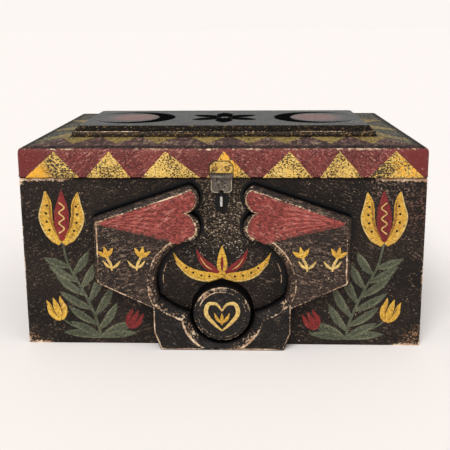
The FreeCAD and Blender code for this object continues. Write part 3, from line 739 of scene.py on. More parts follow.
def foot_outline():
    """The foot's outline, anticlockwise, with the bevel's width and wear along each stretch."""
    seat_right, seat_left = (SEAT_RADIUS, ROUNDEL_LEVEL), (-SEAT_RADIUS, ROUNDEL_LEVEL)
    centre = Vector((0, ROUNDEL_LEVEL))
    count = round(math.pi * SEAT_RADIUS / FINE)
    turns = [-math.pi * i / count for i in range(count)]
    seat = [Vector((math.cos(a), math.sin(a))) * SEAT_RADIUS + centre for a in turns]
    base, knee, corner, oval = ((-x, z) for x, z in (FOOT_BASE, FOOT_KNEE, FOOT_CORNER, OVAL_END))
    stretches = (
        (line(base, FOOT_BASE), 1.2, 0.7),
        (line(FOOT_BASE, FOOT_KNEE), 1.2, 0.6),
        (line(FOOT_KNEE, FOOT_CORNER), 1.2, 0.6),
        ([Vector(FOOT_CORNER)], 0, 0),
        (arc(OVAL_END, seat_right, FLOOR_FULLNESS, -1), 7, 0.92),
        (seat, 7, 0.8),
        (arc(seat_left, oval, FLOOR_FULLNESS, -1), 7, 0.92),
        ([Vector(oval)], 0, 0),
        (line(corner, knee), 1.2, 0.6),
        (line(knee, base), 1.2, 0.6),
    )
    outline, widths, wears = edging(stretches, rounds=2)
    thinnest, narrowest = 1.8, 0.7
    for i, place in enumerate(outline):
        below = ROUNDEL_LEVEL - place.y
        if abs((place - centre).length - SEAT_RADIUS) < 0.01 and below > 0:
            room = (ROUNDEL_LEVEL - thinnest) * SEAT_RADIUS / below - SEAT_RADIUS
            widths[i] = min(widths[i], max(narrowest, room))
    return outline, widths, wears


def roundel():
    """The turned disc: a dark steep side, a worn rim and a flat face."""
    skin = Skin()
    rim, face = 24, 20.4
    # The steep side is dark: black paint and painted shade in the groove round the disc
    steps = (
        (ROUNDEL_RADIUS, 0, 0, 1),
        (ROUNDEL_RADIUS, 1.5, 0, 1),
        (rim + 1.4, RELIEF - 4.5, 0, 1),
        (rim + 0.4, RELIEF - 2.2, 0.4, 0.6),
        (rim, RELIEF - 1.4, 1, 0),
        (rim - 0.8, RELIEF - 0.9, 0.8, 0),
        (face + 0.9, RELIEF - 0.25, 0.7, 0),
        (face, RELIEF, 0.95, 0),
        (face - 0.9, RELIEF, 0.3, 0),
    )
    centre = Vector((0, ROUNDEL_LEVEL))
    low_wear, more_above = 0.84, 0.3
    spokes = circle(96)
    rings = []
    for radius, lift, wear, dark in steps:
        flat = [centre + radius * spoke for spoke in spokes]
        rubs = [wear * (low_wear + more_above * max(0, spoke.y)) for spoke in spokes]
        rings.append([skin.point(ON_FRONT(p.x, p.y, lift), rub, dark) for p, rub in zip(flat, rubs)])
    skin.stack(rings)
    skin.fill(rings[-1], flat, ON_FRONT, step=3, lift=RELIEF)
    skin.piece("carved_roundel", "box", "carved_paint", [FOOT_PAINT], "roundel")


def rectangle(half, radius, centre, sides=20, corner=5):
    """A rectangle with rounded corners, anticlockwise, with the same count of points at any size."""
    points = []
    signs = ((1, -1), (1, 1), (-1, 1), (-1, -1))
    middles = [Vector((x * (half[0] - radius), y * (half[1] - radius))) for x, y in signs]
    for number, middle in enumerate(middles):
        turns = [(number - 1 + i / corner) * math.pi / 2 for i in range(corner + 1)]
        rim = [radius * Vector((math.cos(a), math.sin(a))) for a in turns]
        points += [middle + reach for reach in rim]
        start, end = middle + rim[-1], middles[(number + 1) % 4] + rim[-1]
        points += [start.lerp(end, i / sides) for i in range(1, sides)]
    return [p + Vector(centre) for p in points]


def stacked(skin, plane, half, centre, steps, corner, rubbed=None, back_share=1):
    """Rounded rectangles, each (inset, lift, wear, dark, kind), joined in a stack. Returns the last.

    rubbed gives the share of the wear at a place. At the back the inset is back_share times as wide."""
    last = None
    for inward, lift, wear, dark, kind in steps:
        radius = max(0.3, corner - inward)
        shift = Vector((0, inward * (1 - back_share) / 2))
        size = (half[0] - inward, half[1] - inward * (1 + back_share) / 2)
        flat = rectangle(size, radius, Vector(centre) + shift)
        shares = [rubbed(p) if rubbed else 1 for p in flat]
        ring = [skin.point(plane(p.x, p.y, lift), wear * share, dark) for p, share in zip(flat, shares)]
        if last is None:
            skin.face(list(reversed(ring)), kind)
        else:
            skin.bridge(last, ring, kind)
        last = ring
    return flat, last


EDGE_BAND, UPRIGHT_BAND = 4, 3
UPPER_CORNER, LOWER_CORNER = 48, 26


def board(name, plane, half, centre, looks, node, edge=1.1):
    """A board with eased, worn outer edges. The first look is its outer face, the second its inner face."""
    skin = Skin()

    def rubbed(place):
        """The share of the wear: most at the upper corners, then the lower ones and the upright edges."""
        if place.y > SEAM - EDGE_BAND and abs(place.x) > SIDE - UPPER_CORNER:
            return 1.8
        if place.y < EDGE_BAND and abs(place.x) > SIDE - LOWER_CORNER:
            return 1.4
        return 1.12 if abs(place.x) > half[0] - UPRIGHT_BAND else 0.7

    steps = (
        (0.4, 0, 0, 0, 1),
        (0, 0.4, 0, 0, 1),
        (0, 3, 0, 0, 0),
        (0, BOARD - 3, 0, 0, 0),
        (0, BOARD - edge, 0.45, 0, 0),
        (edge * 0.3, BOARD - edge * 0.3, 0.75, 0, 0),
        (edge, BOARD, 0.66, 0, 0),
        (edge + 2, BOARD, 0.45, 0, 0),
        (edge + 6, BOARD, 0, 0, 0),
    )
    _, top = stacked(skin, plane, half, centre, steps, corner=1.2, rubbed=rubbed)
    skin.face(top)
    skin.piece(name, "box", "painted_board", looks, node)


def boards():
    """The four upright boards of the box."""
    middle = (0, SEAM / 2)
    long, short = (SIDE, SEAM / 2), (INNER_BACK, SEAM / 2)
    for name, sign, depth in (("front", 1, INNER_FRONT), ("back", -1, INNER_BACK)):
        plane = Plane((0, depth, 0), (sign, 0, 0), (0, 0, 1))
        board(f"{name}_board_painted", plane, long, middle, [GROUND, WOOD], f"{name}_board")
    for name, sign in SIDES:
        plane = Plane((sign * (SIDE - BOARD), 0, 0), (0, sign, 0), (0, 0, 1))
        looks = [GROUND_ENDS, WOOD_ENDS]
        board(f"{name}_end_painted", plane, short, middle, looks, f"{name}_end_board", edge=0.5)


LID_CENTRE = (0, (LID[0].y + LID[1].y) / 2)
LID_HALF = (LID_SIDE, (LID[1].y - LID[0].y) / 2)
OVER_LID = Plane((0, 0, 0), (1, 0, 0), (0, 1, 0))


def lid_board():
    """The lid: worn lower and upper arrises, red edges and wide sloping borders."""
    skin = Skin()
    bottom, arris = SEAM, LID_ARRIS

    def slope(inward):
        return arris + BORDER_RISE * inward / BORDER

    steps = (
        (12, bottom, 0, 0, 2),
        (1, bottom, 0, 0, 2),
        # The lower edge is dark, a painted shadow in the seam under the lid
        (0.3, bottom + 0.3, 0, 1, 0),
        (0, bottom + 1.1, 0, 0.95, 0),
        (0, bottom + 1.6, 0.7, 0, 0),
        (0, bottom + 2.8, 0.1, 0, 0),
        (0, arris - 5, 0, 0, 0),
        (0.2, arris - 2.8, 0.3, 0, 0),
        (0.8, arris - 1.3, 0.7, 0, 0),
        (1.8, arris - 0.4, 0.8, 0.1, 0),
        (3, slope(3) - 0.1, 0.4, 0.5, 1),
        (4.5, slope(4.5), 0, 0.7, 1),
        (8, slope(8), 0, 0.6, 1),
        (11, slope(11), 0, 0, 1),
        (BORDER - 3, slope(BORDER - 3), 0, 0, 1),
        (BORDER, slope(BORDER), 0, 0.8, 1),
    )
    share = BACK_BORDER / BORDER
    _, top = stacked(skin, OVER_LID, LID_HALF, LID_CENTRE, steps, corner=5, back_share=share)
    skin.face(top, 1)
    for number, corners in enumerate(skin.faces):
        middle = sum((skin.points[i] for i in corners), Vector()) / len(corners)
        beside = LID_SIDE - abs(middle.x) < middle.y - LID_FRONT
        if skin.kinds[number] == 1 and beside:
            skin.kinds[number] = 3
    looks = [LID_RED, BORDER_PAINT, WOOD, BORDER_GREY]
    skin.piece("lid_board_painted", "lid", "lid_paint", looks, "lid_board")


CRESCENT_RADIUS, HOLLOW_RADIUS, HOLLOW_SHIFT = 39, 32, 8.5
PETALS, PETAL_MIDDLE, PETAL_HALF_LENGTH, PETAL_ARC = 6, 19, 16, 20
CUT_DEPTH, CUT_SLOPE = 2.4, 0.8
PAINT_MARGIN = 1.2


def cut_depth(place):
    """The depth of the lid panel's carving at a place, below 0 outside a cut by about the gap to it in mm."""
    from_middle = place - PANEL_CENTRE
    side = math.copysign(1, from_middle.x)
    spoke = from_middle - Vector((side * RING_OFFSET, 0))
    hollow = spoke - Vector((side * HOLLOW_SHIFT, 0))
    room = min(CRESCENT_RADIUS - spoke.length, hollow.length - HOLLOW_RADIUS)
    for petal in range(PETALS):
        angle = math.pi / 2 + 2 * math.pi * petal / PETALS
        axis = Vector((math.cos(angle), math.sin(angle)))
        along = abs(from_middle.dot(axis) - PETAL_MIDDLE)
        across = abs(from_middle.x * axis.y - from_middle.y * axis.x)
        if along < PETAL_HALF_LENGTH:
            half = math.sqrt(PETAL_ARC**2 - along**2) - math.sqrt(PETAL_ARC**2 - PETAL_HALF_LENGTH**2)
            room = max(room, half - across)
    return min(CUT_DEPTH, room * CUT_SLOPE) if room > 0 else room


def lid_panel():
    """The raised panel: a rounded moulding, a worn step, a black bevelled field and its carving."""
    skin = Skin()
    base, top = PANEL[0].z, PANEL[1].z
    half = (PANEL[1].x, (PANEL[1].y - PANEL[0].y) / 2)
    rounding, step_level, bevel_run = 1.8, base + 4.2, 5
    steps = [(0, base, 0, 0.6, 0), (0, step_level - rounding, 0, 0, 0)]
    for angle in (25, 45, 65, 85):
        turn = math.radians(angle)
        level = step_level - rounding + rounding * math.sin(turn)
        steps.append((rounding * (1 - math.cos(turn)), level, 0.35 if angle > 60 else 0.1, 0, 0))
    inner = rounding + 0.2
    steps += [
        (inner, step_level + 0.1, 0.95, 0, 0),
        (inner + 0.3, step_level + 0.4, 0.85, 0.2, 2),
        (inner + 0.8, step_level + 1, 0.1, 0.5, 2),
        (inner + bevel_run - 0.5, top - 0.5, 0.1, 0, 2),
        (inner + bevel_run, top - 0.1, 0.45, 0, 2),
        (inner + bevel_run + 0.7, top, 0.1, 0, 1),
    ]
    flat, ring = stacked(skin, OVER_LID, half, PANEL_CENTRE, steps, corner=10)

    def carving(place):
        depth = cut_depth(place)
        return max(0, depth), 0, min(1, max(0, 1 + depth / PAINT_MARGIN))

    skin.fill(ring, flat, OVER_LID, step=1.1, lift=top, kind=1, values=carving)
    skin.piece("lid_panel_carved", "lid", "panel_paint", [GILT, PANEL_BLACK_AND_SHEEN, BEVEL_BROWN], "lid_panel")


STROKE_SECTION = ((1, 0), (0.6, 0.8), (0, 1), (-0.6, 0.8), (-1, 0))
DOT_SECTION = ((1, 0), (0.75, 0.7), (0.35, 1))
FINEST_HALF, FILM_EDGE = 0.12, 0.3
STROKE_VARIES, STROKE_LUMPS, LINE_LUMPS = 0.1, 0.4, 0.3


class Paint:
    """Brush strokes and flat shapes of one colour on one plane, gathered into one piece."""

    def __init__(self, plane):
        self.plane, self.skin = plane, Skin()

    def stroke(self, points, lift=0.3, step=1.4):
        """A domed stroke along a smooth line through (u, v, width) points."""
        knots = [Vector(p) for p in points]
        knots = [2 * knots[0] - knots[1], *knots, 2 * knots[-1] - knots[-2]]
        places = []
        for before, start, end, after in zip(knots, knots[1:], knots[2:], knots[3:]):
            count = max(2, round((end - start).length / step))
            for i in range(count):
                t = i / count
                places.append(
                    0.5 * (2 * start + (end - before) * t + (2 * before - 5 * start + 4 * end - after) * t**2
                           + (3 * start - before - 3 * end + after) * t**3)
                )
        places.append(knots[-2])
        rows = []
        for i, place in enumerate(places):
            ahead, behind = places[min(i + 1, len(places) - 1)], places[max(i - 1, 0)]
            run = (ahead - behind).to_2d().normalized()
            side = Vector((-run.y, run.x))
            half = max(FINEST_HALF, place.z / 2 * (1 + STROKE_VARIES * uneven(place, STROKE_LUMPS, 1)))
            rise = lift * min(1, half)
            row = []
            for share, height in STROKE_SECTION:
                spot = place.to_2d() + side * half * share
                row.append(self.skin.point(self.plane(spot.x, spot.y, rise * height)))
            rows.append(row)
        for first, last in zip(rows, rows[1:]):
            for a, b, c, d in zip(first, first[1:], last[1:], last):
                self.skin.face((a, b, c, d))
            self.skin.face((first[-1], first[0], last[0], last[-1]))
        self.skin.face(list(reversed(rows[0])))
        self.skin.face(rows[-1])

    def both(self, points, lift, step=1.4):
        """A stroke and its mirror image across the middle."""
        for sign in (-1, 1):
            self.stroke([(sign * u, v, width) for u, v, width in points], lift, step)

    def dot(self, u, v, radius, lift=0.35):
        """A round dab of paint."""
        rings = []
        for share, height in DOT_SECTION:
            places = [Vector((u, v)) + radius * share * spoke for spoke in circle(12)]
            rings.append(self.skin.ring([self.plane(p.x, p.y, lift * height) for p in places]))
        self.skin.stack(rings)
        self.skin.face(rings[-1])

    def film(self, outline, wear=0.9, lift=0.22, step=4):
        """A flat painted shape with worn edges."""
        outline = [Vector(p) for p in outline]
        outline = [p for i, p in enumerate(outline) if (p - outline[i - 1]).length > 0.01]
        inner = shifted(outline, FILM_EDGE)
        low = self.skin.ring([self.plane(p.x, p.y) for p in outline], wear)
        high = self.skin.ring([self.plane(p.x, p.y, lift) for p in inner], wear)
        self.skin.stack((low, high))
        self.skin.fill(high, inner, self.plane, step, lift)

    def piece(self, name, body, slot, look):
        self.skin.piece(name, body, slot, [look])


def uneven_line(start, end, amount=0.35):
    """A hand-drawn straight line."""
    points = line(start, end, step=3)
    return [p + Vector([uneven(p, LINE_LUMPS, layer) for layer in (5, 9)]) * amount for p in points]


def tooth(base, left, right, apex):
    """A hand-drawn triangle."""
    corners = [(left, base), (right, base), apex]
    return [p for i, corner in enumerate(corners) for p in uneven_line(corner, corners[i - 2])]


def sawteeth():
    """Mustard teeth on the lid's edges and olive ones on its borders."""
    low, high, wear = SEAM + 0.8, LID_ARRIS - 2.2, 0.35
    teeth = Paint(facing(LID_FRONT))
    bases = (
        (-165.5, -120, -140.5), (-114.5, -76.5, -94.2), (-67, -18, -46.5), (-12.5, 24, 2), (34.5, 76, 57),
        (82.2, 118, 98.2), (122.5, 168.5, 144.5),
    )
    for left, right, apex in bases:
        teeth.film(tooth(low, left, right, (apex, high)), wear)
    teeth.piece("front_teeth", "lid", "lid_paint", MUSTARD)
    count = 5
    pitch = LID_HALF[1] * 2 / count
    half = pitch * 0.44
    for name, sign in SIDES:
        teeth = Paint(Plane((sign * LID_SIDE, LID_CENTRE[1], 0), (0, sign, 0), (0, 0, 1)))
        for number in range(count):
            middle = (number - count // 2) * pitch
            teeth.film(tooth(low, middle - half, middle + half, (middle, high)), wear)
        teeth.piece(f"{name}_teeth", "lid", "lid_paint", MUSTARD)
    border_teeth()


def border_teeth():
    """Teeth on the sloping borders, with their bases along the panel."""
    along, beside = (-128, -91, -55, -12.5, 24, 55, 93, 128), (-41, 0, 41)
    middle = PANEL_CENTRE.y
    layout = (
        ("front", (0, LID_FRONT, LID_ARRIS), (1, 0, 0), (0, BORDER, BORDER_RISE), along, 15, 21, 0),
        ("back", (0, LID[1].y, LID_ARRIS), (-1, 0, 0), (0, -BACK_BORDER, BORDER_RISE), along, 15, 21, 0),
        ("left", (-LID_SIDE, middle, LID_ARRIS), (0, -1, 0), (BORDER, 0, BORDER_RISE), beside, 17, 29, 0.6),
        ("right", (LID_SIDE, middle, LID_ARRIS), (0, 1, 0), (-BORDER, 0, BORDER_RISE), beside, 17, 29, 0.6),
    )
    for name, origin, across, up, places, half, tall, lean in layout:
        teeth = Paint(Plane(origin, across, up))
        base = Vector(up).length - 0.4
        for place in places:
            apex = (place * (1 + lean), base - tall)
            teeth.film(tooth(base, place + half, place - half, apex), wear=0.3)
        look = OLIVE_GOLD if name == "front" else DULL_OLIVE
        teeth.piece(f"{name}_border_teeth", "lid", "lid_paint", look)


def hearts():
    """The red heart on the inner end of each wing."""
    outline, widths, _ = wing_outline()
    tip_x, margin = 105.5, ARRIS + 0.5
    edge = inset(outline, [w + margin if w else 0 for w in widths])
    first = next(i for i, p in enumerate(outline) if p.x < tip_x and p.y > SHOULDER)
    last = next(i for i, p in enumerate(outline) if (p - Vector(LOBE_FOOT)).length < 0.01)
    upper = edge[first : last - 1]
    knots = [upper[-1], (36, 96), (44.5, 98), (65.5, 103.4), (90, 109), (104.8, 113)]
    heart = upper + [p for ends in zip(knots, knots[1:]) for p in uneven_line(*ends, amount=0.5)]
    paint = Paint(ON_CARVING)
    for half in (heart, mirrored(heart)):
        paint.film(half, wear=0.6)
    paint.piece("heart_paint", "box", "carved_paint", HEART_RED)


SCATTER, SQUARE_SCATTER = 0.618, 0.382


def heart_strokes():
    """Brush marks that fan out over each heart from its tip."""
    tip, high, low = Vector((104, 113.5)), Vector((26, 137)), Vector((30, 100))
    layers = [Paint(ON_CARVING.raised(0.2)) for _ in range(2)]
    count, bow = 44, 0.6
    nearest, spread, shortest = 0.1, 0.54, 0.1
    for i in range(count):
        lobe = high.lerp(low, (i + 0.5) / count)
        start = nearest + spread * (SCATTER * i % 1)
        length = shortest + shortest * (SQUARE_SCATTER * i * i % 1)
        mark = [tip.lerp(lobe, start + length * share) for share in (0, 0.5, 1)]
        mark[1].y += bow
        layers[i % 2].both([(*p, width) for p, width in zip(mark, (0.2, 0.95, 0.3))], lift=0.12)
    for layer, name, look in zip(layers, ("dark", "pale"), (DARK_STROKES, PALE_STROKES)):
        layer.piece(f"heart_{name}_strokes", "box", "carved_paint", look)


def cut_shade_lines():
    """Black lines at the foot of the carving, black paint and painted shade for a gouged groove, and pale
    dashes below them, worn paint and a painted highlight on the groove's edge.
    """
    outline, widths, _ = wing_outline()
    wide_bevel, oval_reach, lift = 4, OVAL_END[0] + 5, 0.12
    skip, dash, pitch = 3, 7, 8
    outside, groove, floor = (shifted(outline, -gap) for gap in (1.2, 1.8, 4.6))
    top = [p for p in outside if p.y > LOBE_FOOT[1] - 2]
    by_oval = [w > wide_bevel and p.x < oval_reach and p.y < LOBE_FOOT[1] for w, p in zip(widths, outline)]
    groove, floor = ([p for p, near in zip(ring, by_oval) if near] for ring in (groove, floor))
    low = [p for p in floor if p.y < SEAM / 2]
    paint, edge = Paint(ON_FRONT), Paint(ON_FRONT)
    # Black lines round the wings and along the oval: black paint and painted shade for a groove
    paint.both([(*p, 3) for p in top[::skip]], lift, step=3)
    paint.both([(*p, 4.4) for p in groove[::skip]], lift, step=3)
    # Pale dashes along the groove's edge: worn paint and a painted highlight
    for start in range(0, len(low) - dash + 1, pitch):
        edge.both([(*p, 0.8) for p in low[start : start + dash : skip]], lift)
    paint.piece("cut_shade_lines", "box", "painted_board", LINE_BLACK)
    edge.piece("oval_edge_wear_and_glint", "box", "painted_board", EDGE_WEAR_AND_GLINT)


LAYERS = (
    ("leaves", LEAF_GREEN, 0),
    ("leaf_light", LEAF_LIGHT, 0.2),
    ("leaf_dark", LEAF_DARK, 0.22),
    ("yellow", YELLOW, 0.05),
    ("shade", OCHRE, 0.26),
    ("red", RED, 0.12),
    ("cream", BUFF, 0.32),
    ("dots", LINE_BLACK, 0.32),
)


class Painting:
    """Strokes in several colours on one plane. Each colour is a piece, raised by its own lift."""

    def __init__(self, plane):
        self.layers = {name: Paint(plane.raised(lift)) for name, _, lift in LAYERS}
        self.sign = 1

    def stroke(self, layer, points):
        self.layers[layer].stroke([(self.sign * u, v, width) for u, v, width in points])

    def dot(self, layer, u, v, radius):
        self.layers[layer].dot(self.sign * u, v, radius)

    def pieces(self, name, slot):
        for layer, look, _ in LAYERS:
            if self.layers[layer].skin.faces:
                self.layers[layer].piece(f"{name}_{layer}", "box", slot, look)


def course(base, heading, size, points):
    """Turns (along, across, width) points of a motif, in shares of its size, into places on the plane."""
    turn = math.radians(heading)
    along, across = Vector((math.cos(turn), math.sin(turn))), Vector((math.sin(turn), -math.cos(turn)))
    places = []
    for far, wide, width in points:
        spot = Vector(base) + (along * far + across * wide) * size
        places.append((spot.x, spot.y, width * size))
    return places


def leaf(art, base, heading, length, width, bend=0):
    """A pointed leaf that bends to one side."""
    share = width / length
    points = [(0, 0, share * 0.3)]
    for far, fullness in ((0.3, 0.85), (0.58, 1), (0.82, 0.62), (1, 0.06)):
        points.append((far, bend * far**2, share * fullness))
    art.stroke("leaves", course(base, heading, length, points))
    for layer, side, fine in (("leaf_light", 0.34, 0.15), ("leaf_dark", -0.06, 0.09)):
        mark = [(far * 0.94, across + side * wide, fine * wide) for far, across, wide in points]
        art.stroke(layer, course(base, heading, length, mark))


OUTER_PETAL = ((0, 0.03, 0.1), (0.18, 0.2, 0.2), (0.48, 0.29, 0.24), (0.78, 0.27, 0.16), (1, 0.3, 0.02))
INNER_PETAL = ((0.06, 0, 0.1), (0.3, 0, 0.25), (0.58, 0, 0.27), (0.85, 0, 0.14), (1.02, 0, 0.02))
PETAL_SHADE = (
    (0.12, 0.06, 0.02), (0.3, 0.15, 0.04), (0.52, 0.21, 0.045), (0.76, 0.22, 0.03), (0.94, 0.28, 0.01),
)
PETAL_EDGE = ((0.02, 0.1, 0.01), (0.2, 0.31, 0.028), (0.5, 0.415, 0.03), (0.8, 0.35, 0.026), (1, 0.31, 0.01))
SEPAL = ((0, 0, 0.06), (0.1, -0.16, 0.1), (0.26, -0.26, 0.08), (0.4, -0.4, 0.02))
PETAL_DOTS = ((0.26, 0.23), (0.42, 0.28), (0.58, 0.29), (0.73, 0.27))


def tulip(art, base, heading, size, outer, inner, fine=False):
    """A tulip of three petals. A fine one has cream lines and dark dots too."""

    def strokes(layer, points, sides=(1, -1)):
        for side in sides:
            turned = [(far, side * wide, width) for far, wide, width in points]
            art.stroke(layer, course(base, heading, size, turned))

    strokes(outer, OUTER_PETAL)
    strokes(inner, INNER_PETAL, (1,))
    strokes("leaves", SEPAL)
    if outer == "yellow":
        strokes("shade", PETAL_SHADE)
    if fine:
        strokes("cream", PETAL_EDGE)
        strokes("cream", [(0.2 + 0.1 * i, 0.05 * (-1) ** i, 0.03) for i in range(7)], (1,))
        for far, wide in PETAL_DOTS:
            for u, v, _ in course(base, heading, size, ((far, wide, 0), (far, -wide, 0))):
                art.dot("dots", u, v, 0.024 * size)


def plants():
    """A tulip plant on each side of the carving."""
    art = Painting(facing(FRONT, 2))
    for art.sign in (-1, 1):
        stem = ((107, 3, 2.4), (112, 24, 2.4), (122, 48, 2.2), (133, 70, 2), (138, 92, 1.8))
        art.stroke("leaves", stem)
        outward = (
            (110, 16, 24, 30), (114, 30, 20, 32), (119.5, 43, 26, 31), (126, 56, 20, 28),
            (132, 69, 10, 24),
        )
        inward = (
            (109, 11, 134, 30), (112, 24, 130, 33), (117, 37, 124, 32), (123, 50, 130, 27),
            (129, 63, 134, 24),
        )
        for leaves, bend in ((outward, -0.18), (inward, 0.18)):
            for u, v, heading, length in leaves:
                leaf(art, (u, v), heading, length, 7.4, bend)
        for heading, length, bend in ((14, 33, 0.12), (34, 30, 0.1), (166, 32, -0.12), (146, 30, -0.1)):
            leaf(art, (107.5, 4), heading, length, 7.6, bend)
        art.stroke("leaves", ((108, 5, 2), (120, 10, 1.8), (133, 15, 1.6), (142, 22, 1.4)))
        art.stroke("leaves", ((107, 4, 2), (98, 7, 1.8), (88, 10, 1.6), (82, 15, 1.4)))
        tulip(art, (138, 90), 92, 46, "yellow", "red", fine=True)
        tulip(art, (142, 20), 72, 21, "yellow", "yellow")
        tulip(art, (82, 13), 118, 18, "red", "red")
    art.pieces("plant", "painted_board")


def oval_flower():
    """A wide open tulip in the oval hollow."""
    art = Painting(facing(FRONT, 2.4))
    for art.sign in (-1, 1):
        art.stroke("yellow", ((0, 62, 5), (13, 60, 9), (27, 64, 8), (37, 73, 4), (42, 82, 0.6)))
        art.stroke("red", ((3, 64, 3), (11, 69, 7), (18, 76, 5), (22, 85, 0.6)))
        art.stroke("cream", ((5, 58.6, 0.8), (16, 56.6, 1.2), (29, 61, 1.2), (40, 73, 0.8)))
        art.stroke("cream", ((8, 66.4, 0.6), (14, 70.5, 1.1), (19, 78, 0.6)))
        for u, v in ((11, 60.6), (18, 61.4), (25, 64), (31, 68.4)):
            art.dot("dots", u, v, 1)
    art.stroke("yellow", ((0, 62, 5), (0, 71, 9), (0, 80, 6), (0, 88, 0.6)))
    art.stroke("red", ((0, 66, 2), (0, 73, 4), (0, 80, 1)))
    art.pieces("oval_flower", "painted_board")


def placed_at(points, across, up):
    """(u, v, width) points in another place."""
    return [(u + across, v + up, width) for u, v, width in points]


def roundel_heart():
    """A plain brushed heart with a sprig in it on the roundel."""
    art = Painting(ON_CARVING)
    centre = (0, ROUNDEL_LEVEL - 1)
    half = ((0, -13.5, 1.2), (7, -7, 2.8), (13.5, 2, 3.6), (11.5, 10.5, 3.4), (4.5, 10.5, 2.4), (0, 4.5, 1.2))
    for art.sign in (-1, 1):
        art.stroke("cream", placed_at(half, *centre))
        art.stroke("yellow", placed_at(((0, -7, 1), (4, -3, 2.8), (6.5, 2.5, 0.6)), *centre))
    art.stroke("yellow", placed_at(((0, -8.5, 1), (0, -2.5, 2.8), (0, 2, 0.6)), *centre))
    art.pieces("roundel", "carved_paint")


def wing_sprigs():
    """Two small budded sprigs on each wing, below the heart."""
    art = Painting(ON_CARVING)
    low, height = 72.4, 21
    reach = height * 0.48
    bud = [(share, 0, width / reach) for share, width in ((0, 1.2), (0.5, 3.6), (1, 0.5))]
    for art.sign in (-1, 1):
        for foot, lean in ((72, -4), (93, 4)):
            stem = ((0, 0, 1.2), (lean * 0.2, height * 0.25, 2.4), (lean, height * 0.55, 2))
            art.stroke("cream", placed_at(stem, foot, low))
            top = (foot + lean, low + height * 0.55)
            for heading in (46, 90, 134):
                art.stroke("yellow", course(top, heading - lean * 3, reach, bud))
            for side in (-1, 1):
                shoot = ((0, 2, 1), (side * 4, 4.5, 2.4), (side * 7.5, 9, 0.5))
                art.stroke("cream", placed_at(shoot, foot, low))
    art.pieces("wing_sprigs", "carved_paint")


def hasp_hole_shadow():
    """A black patch behind the staple: a hollow and the staple's painted shadow."""
    centre = Vector((0, (STAPLE[0].z + STAPLE[1].z) / 2 - 2))
    half_width, half_height, varies, lumps = 6, 11, 0.3, 0.2
    oval = [Vector((half_width * spoke.x, half_height * spoke.y)) for spoke in circle(36)]
    paint = Paint(ON_FRONT)
    # A black film: a hollow and the staple's painted shadow
    paint.film([centre + p * (1 + varies * uneven(p, lumps, 2)) for p in oval], wear=0, lift=0.1)
    paint.piece("hasp_hollow_and_shadow", "box", "painted_board", LINE_BLACK)


METAL = 1.2
PLATE_LOW = SEAM + 4.6


def hasp_marks():
    """Painted shadow and dirt round the hasp plate and its nails, and pale edges on the leaf: worn paint and
    a painted highlight.
    """
    plate = frame["nodes"]["hasp_plate"].data.vertices
    corners = sorted({(round(v.co.x / MM, 2), round(v.co.z / MM, 2)) for v in plate})
    hull = [Vector(corners[i]) for i in convex_hull_2d(corners)]
    on_lid = facing(LID_FRONT)
    # A dark film just outside the plate: painted shadow and dirt round it
    around = Paint(on_lid.raised(0.1))
    around.film([(p.x, max(SEAM + 1, p.y)) for p in shifted(hull, -0.9)], wear=0, lift=0.25)
    around.piece("hasp_plate_shadow_and_dirt", "lid", "lid_paint", LINE_BLACK)
    on_metal = on_lid.raised(METAL)
    nails = span("hasp_nails")
    radius = (nails[1].z - nails[0].z) / 2
    # Dark rings round the nails and a dark line along the plate's lower edge: painted shadow and dirt
    shadow_and_dirt = Paint(on_metal)
    for place in (nails[0].x + radius, nails[1].x - radius):
        shadow_and_dirt.dot(place, nails[0].z + radius - 0.3, radius + 0.5, lift=0.1)
    reach = span("hasp_plate")[1].x - 0.5
    shadow_and_dirt.stroke(((-reach, PLATE_LOW, 0.8), (0, PLATE_LOW, 1), (reach, PLATE_LOW, 0.8)), lift=0.1)
    shadow_and_dirt.piece("hasp_shadow_and_dirt", "lid", "iron", LINE_BLACK)
    # Pale strokes on the leaf's rim: worn paint and a painted highlight
    rub = Paint(on_metal)
    low, high = span("hasp_leaf")
    rim = ((-0.6, 11.5, 0.6), (-0.6, 4, 0.8), (-1.4, 1.4, 0.8), (-3.6, 0.6, 0.8), (-6.6, 0.6, 0.7))
    rub.both(placed_at(rim, high.x, low.z), lift=0.15)
    rub.piece("hasp_leaf_edge", "hasp", "iron", LEAF_EDGE)


def softened(name, node, body, looks, width, levels=(-math.inf, math.inf)):
    """A copy of a metal node with eased edges, standing for it.

    The looks are for its faces, its edges and what lies outside the levels."""
    source = frame["nodes"][node].data
    mesh = bpy.data.meshes.new(name)
    for look in looks:
        mesh.materials.append(look)
    shape = bmesh.new()
    shape.from_mesh(source)
    bmesh.ops.remove_doubles(shape, verts=shape.verts, dist=1e-6)
    sharp = [e for e in shape.edges if len(e.link_faces) == 2 and e.calc_face_angle() > METAL_SHARP]
    bmesh.ops.bevel(
        shape, geom=sharp, offset=width * MM, segments=2, profile=0.6, affect="EDGES", clamp_overlap=True,
        material=1,
    )
    for level in levels:
        if math.isfinite(level):
            everything = [*shape.verts, *shape.edges, *shape.faces]
            bmesh.ops.bisect_plane(shape, geom=everything, plane_co=(0, 0, level * MM), plane_no=(0, 0, 1))
    for face in shape.faces:
        if not levels[0] < face.calc_center_median().z / MM < levels[1]:
            face.material_index = 2
    shape.to_mesh(mesh)
    shape.free()
    add_piece(mesh, METAL_SHARP, body, "iron", node)


SCREWS = {"hinge_box_screws": "box", "hinge_lid_screws": "lid"}
SCREW_GAP, SLOT_TURN, SLOT_REACH, SLOT_WIDTH = 4, 2.4, 0.42, 0.9


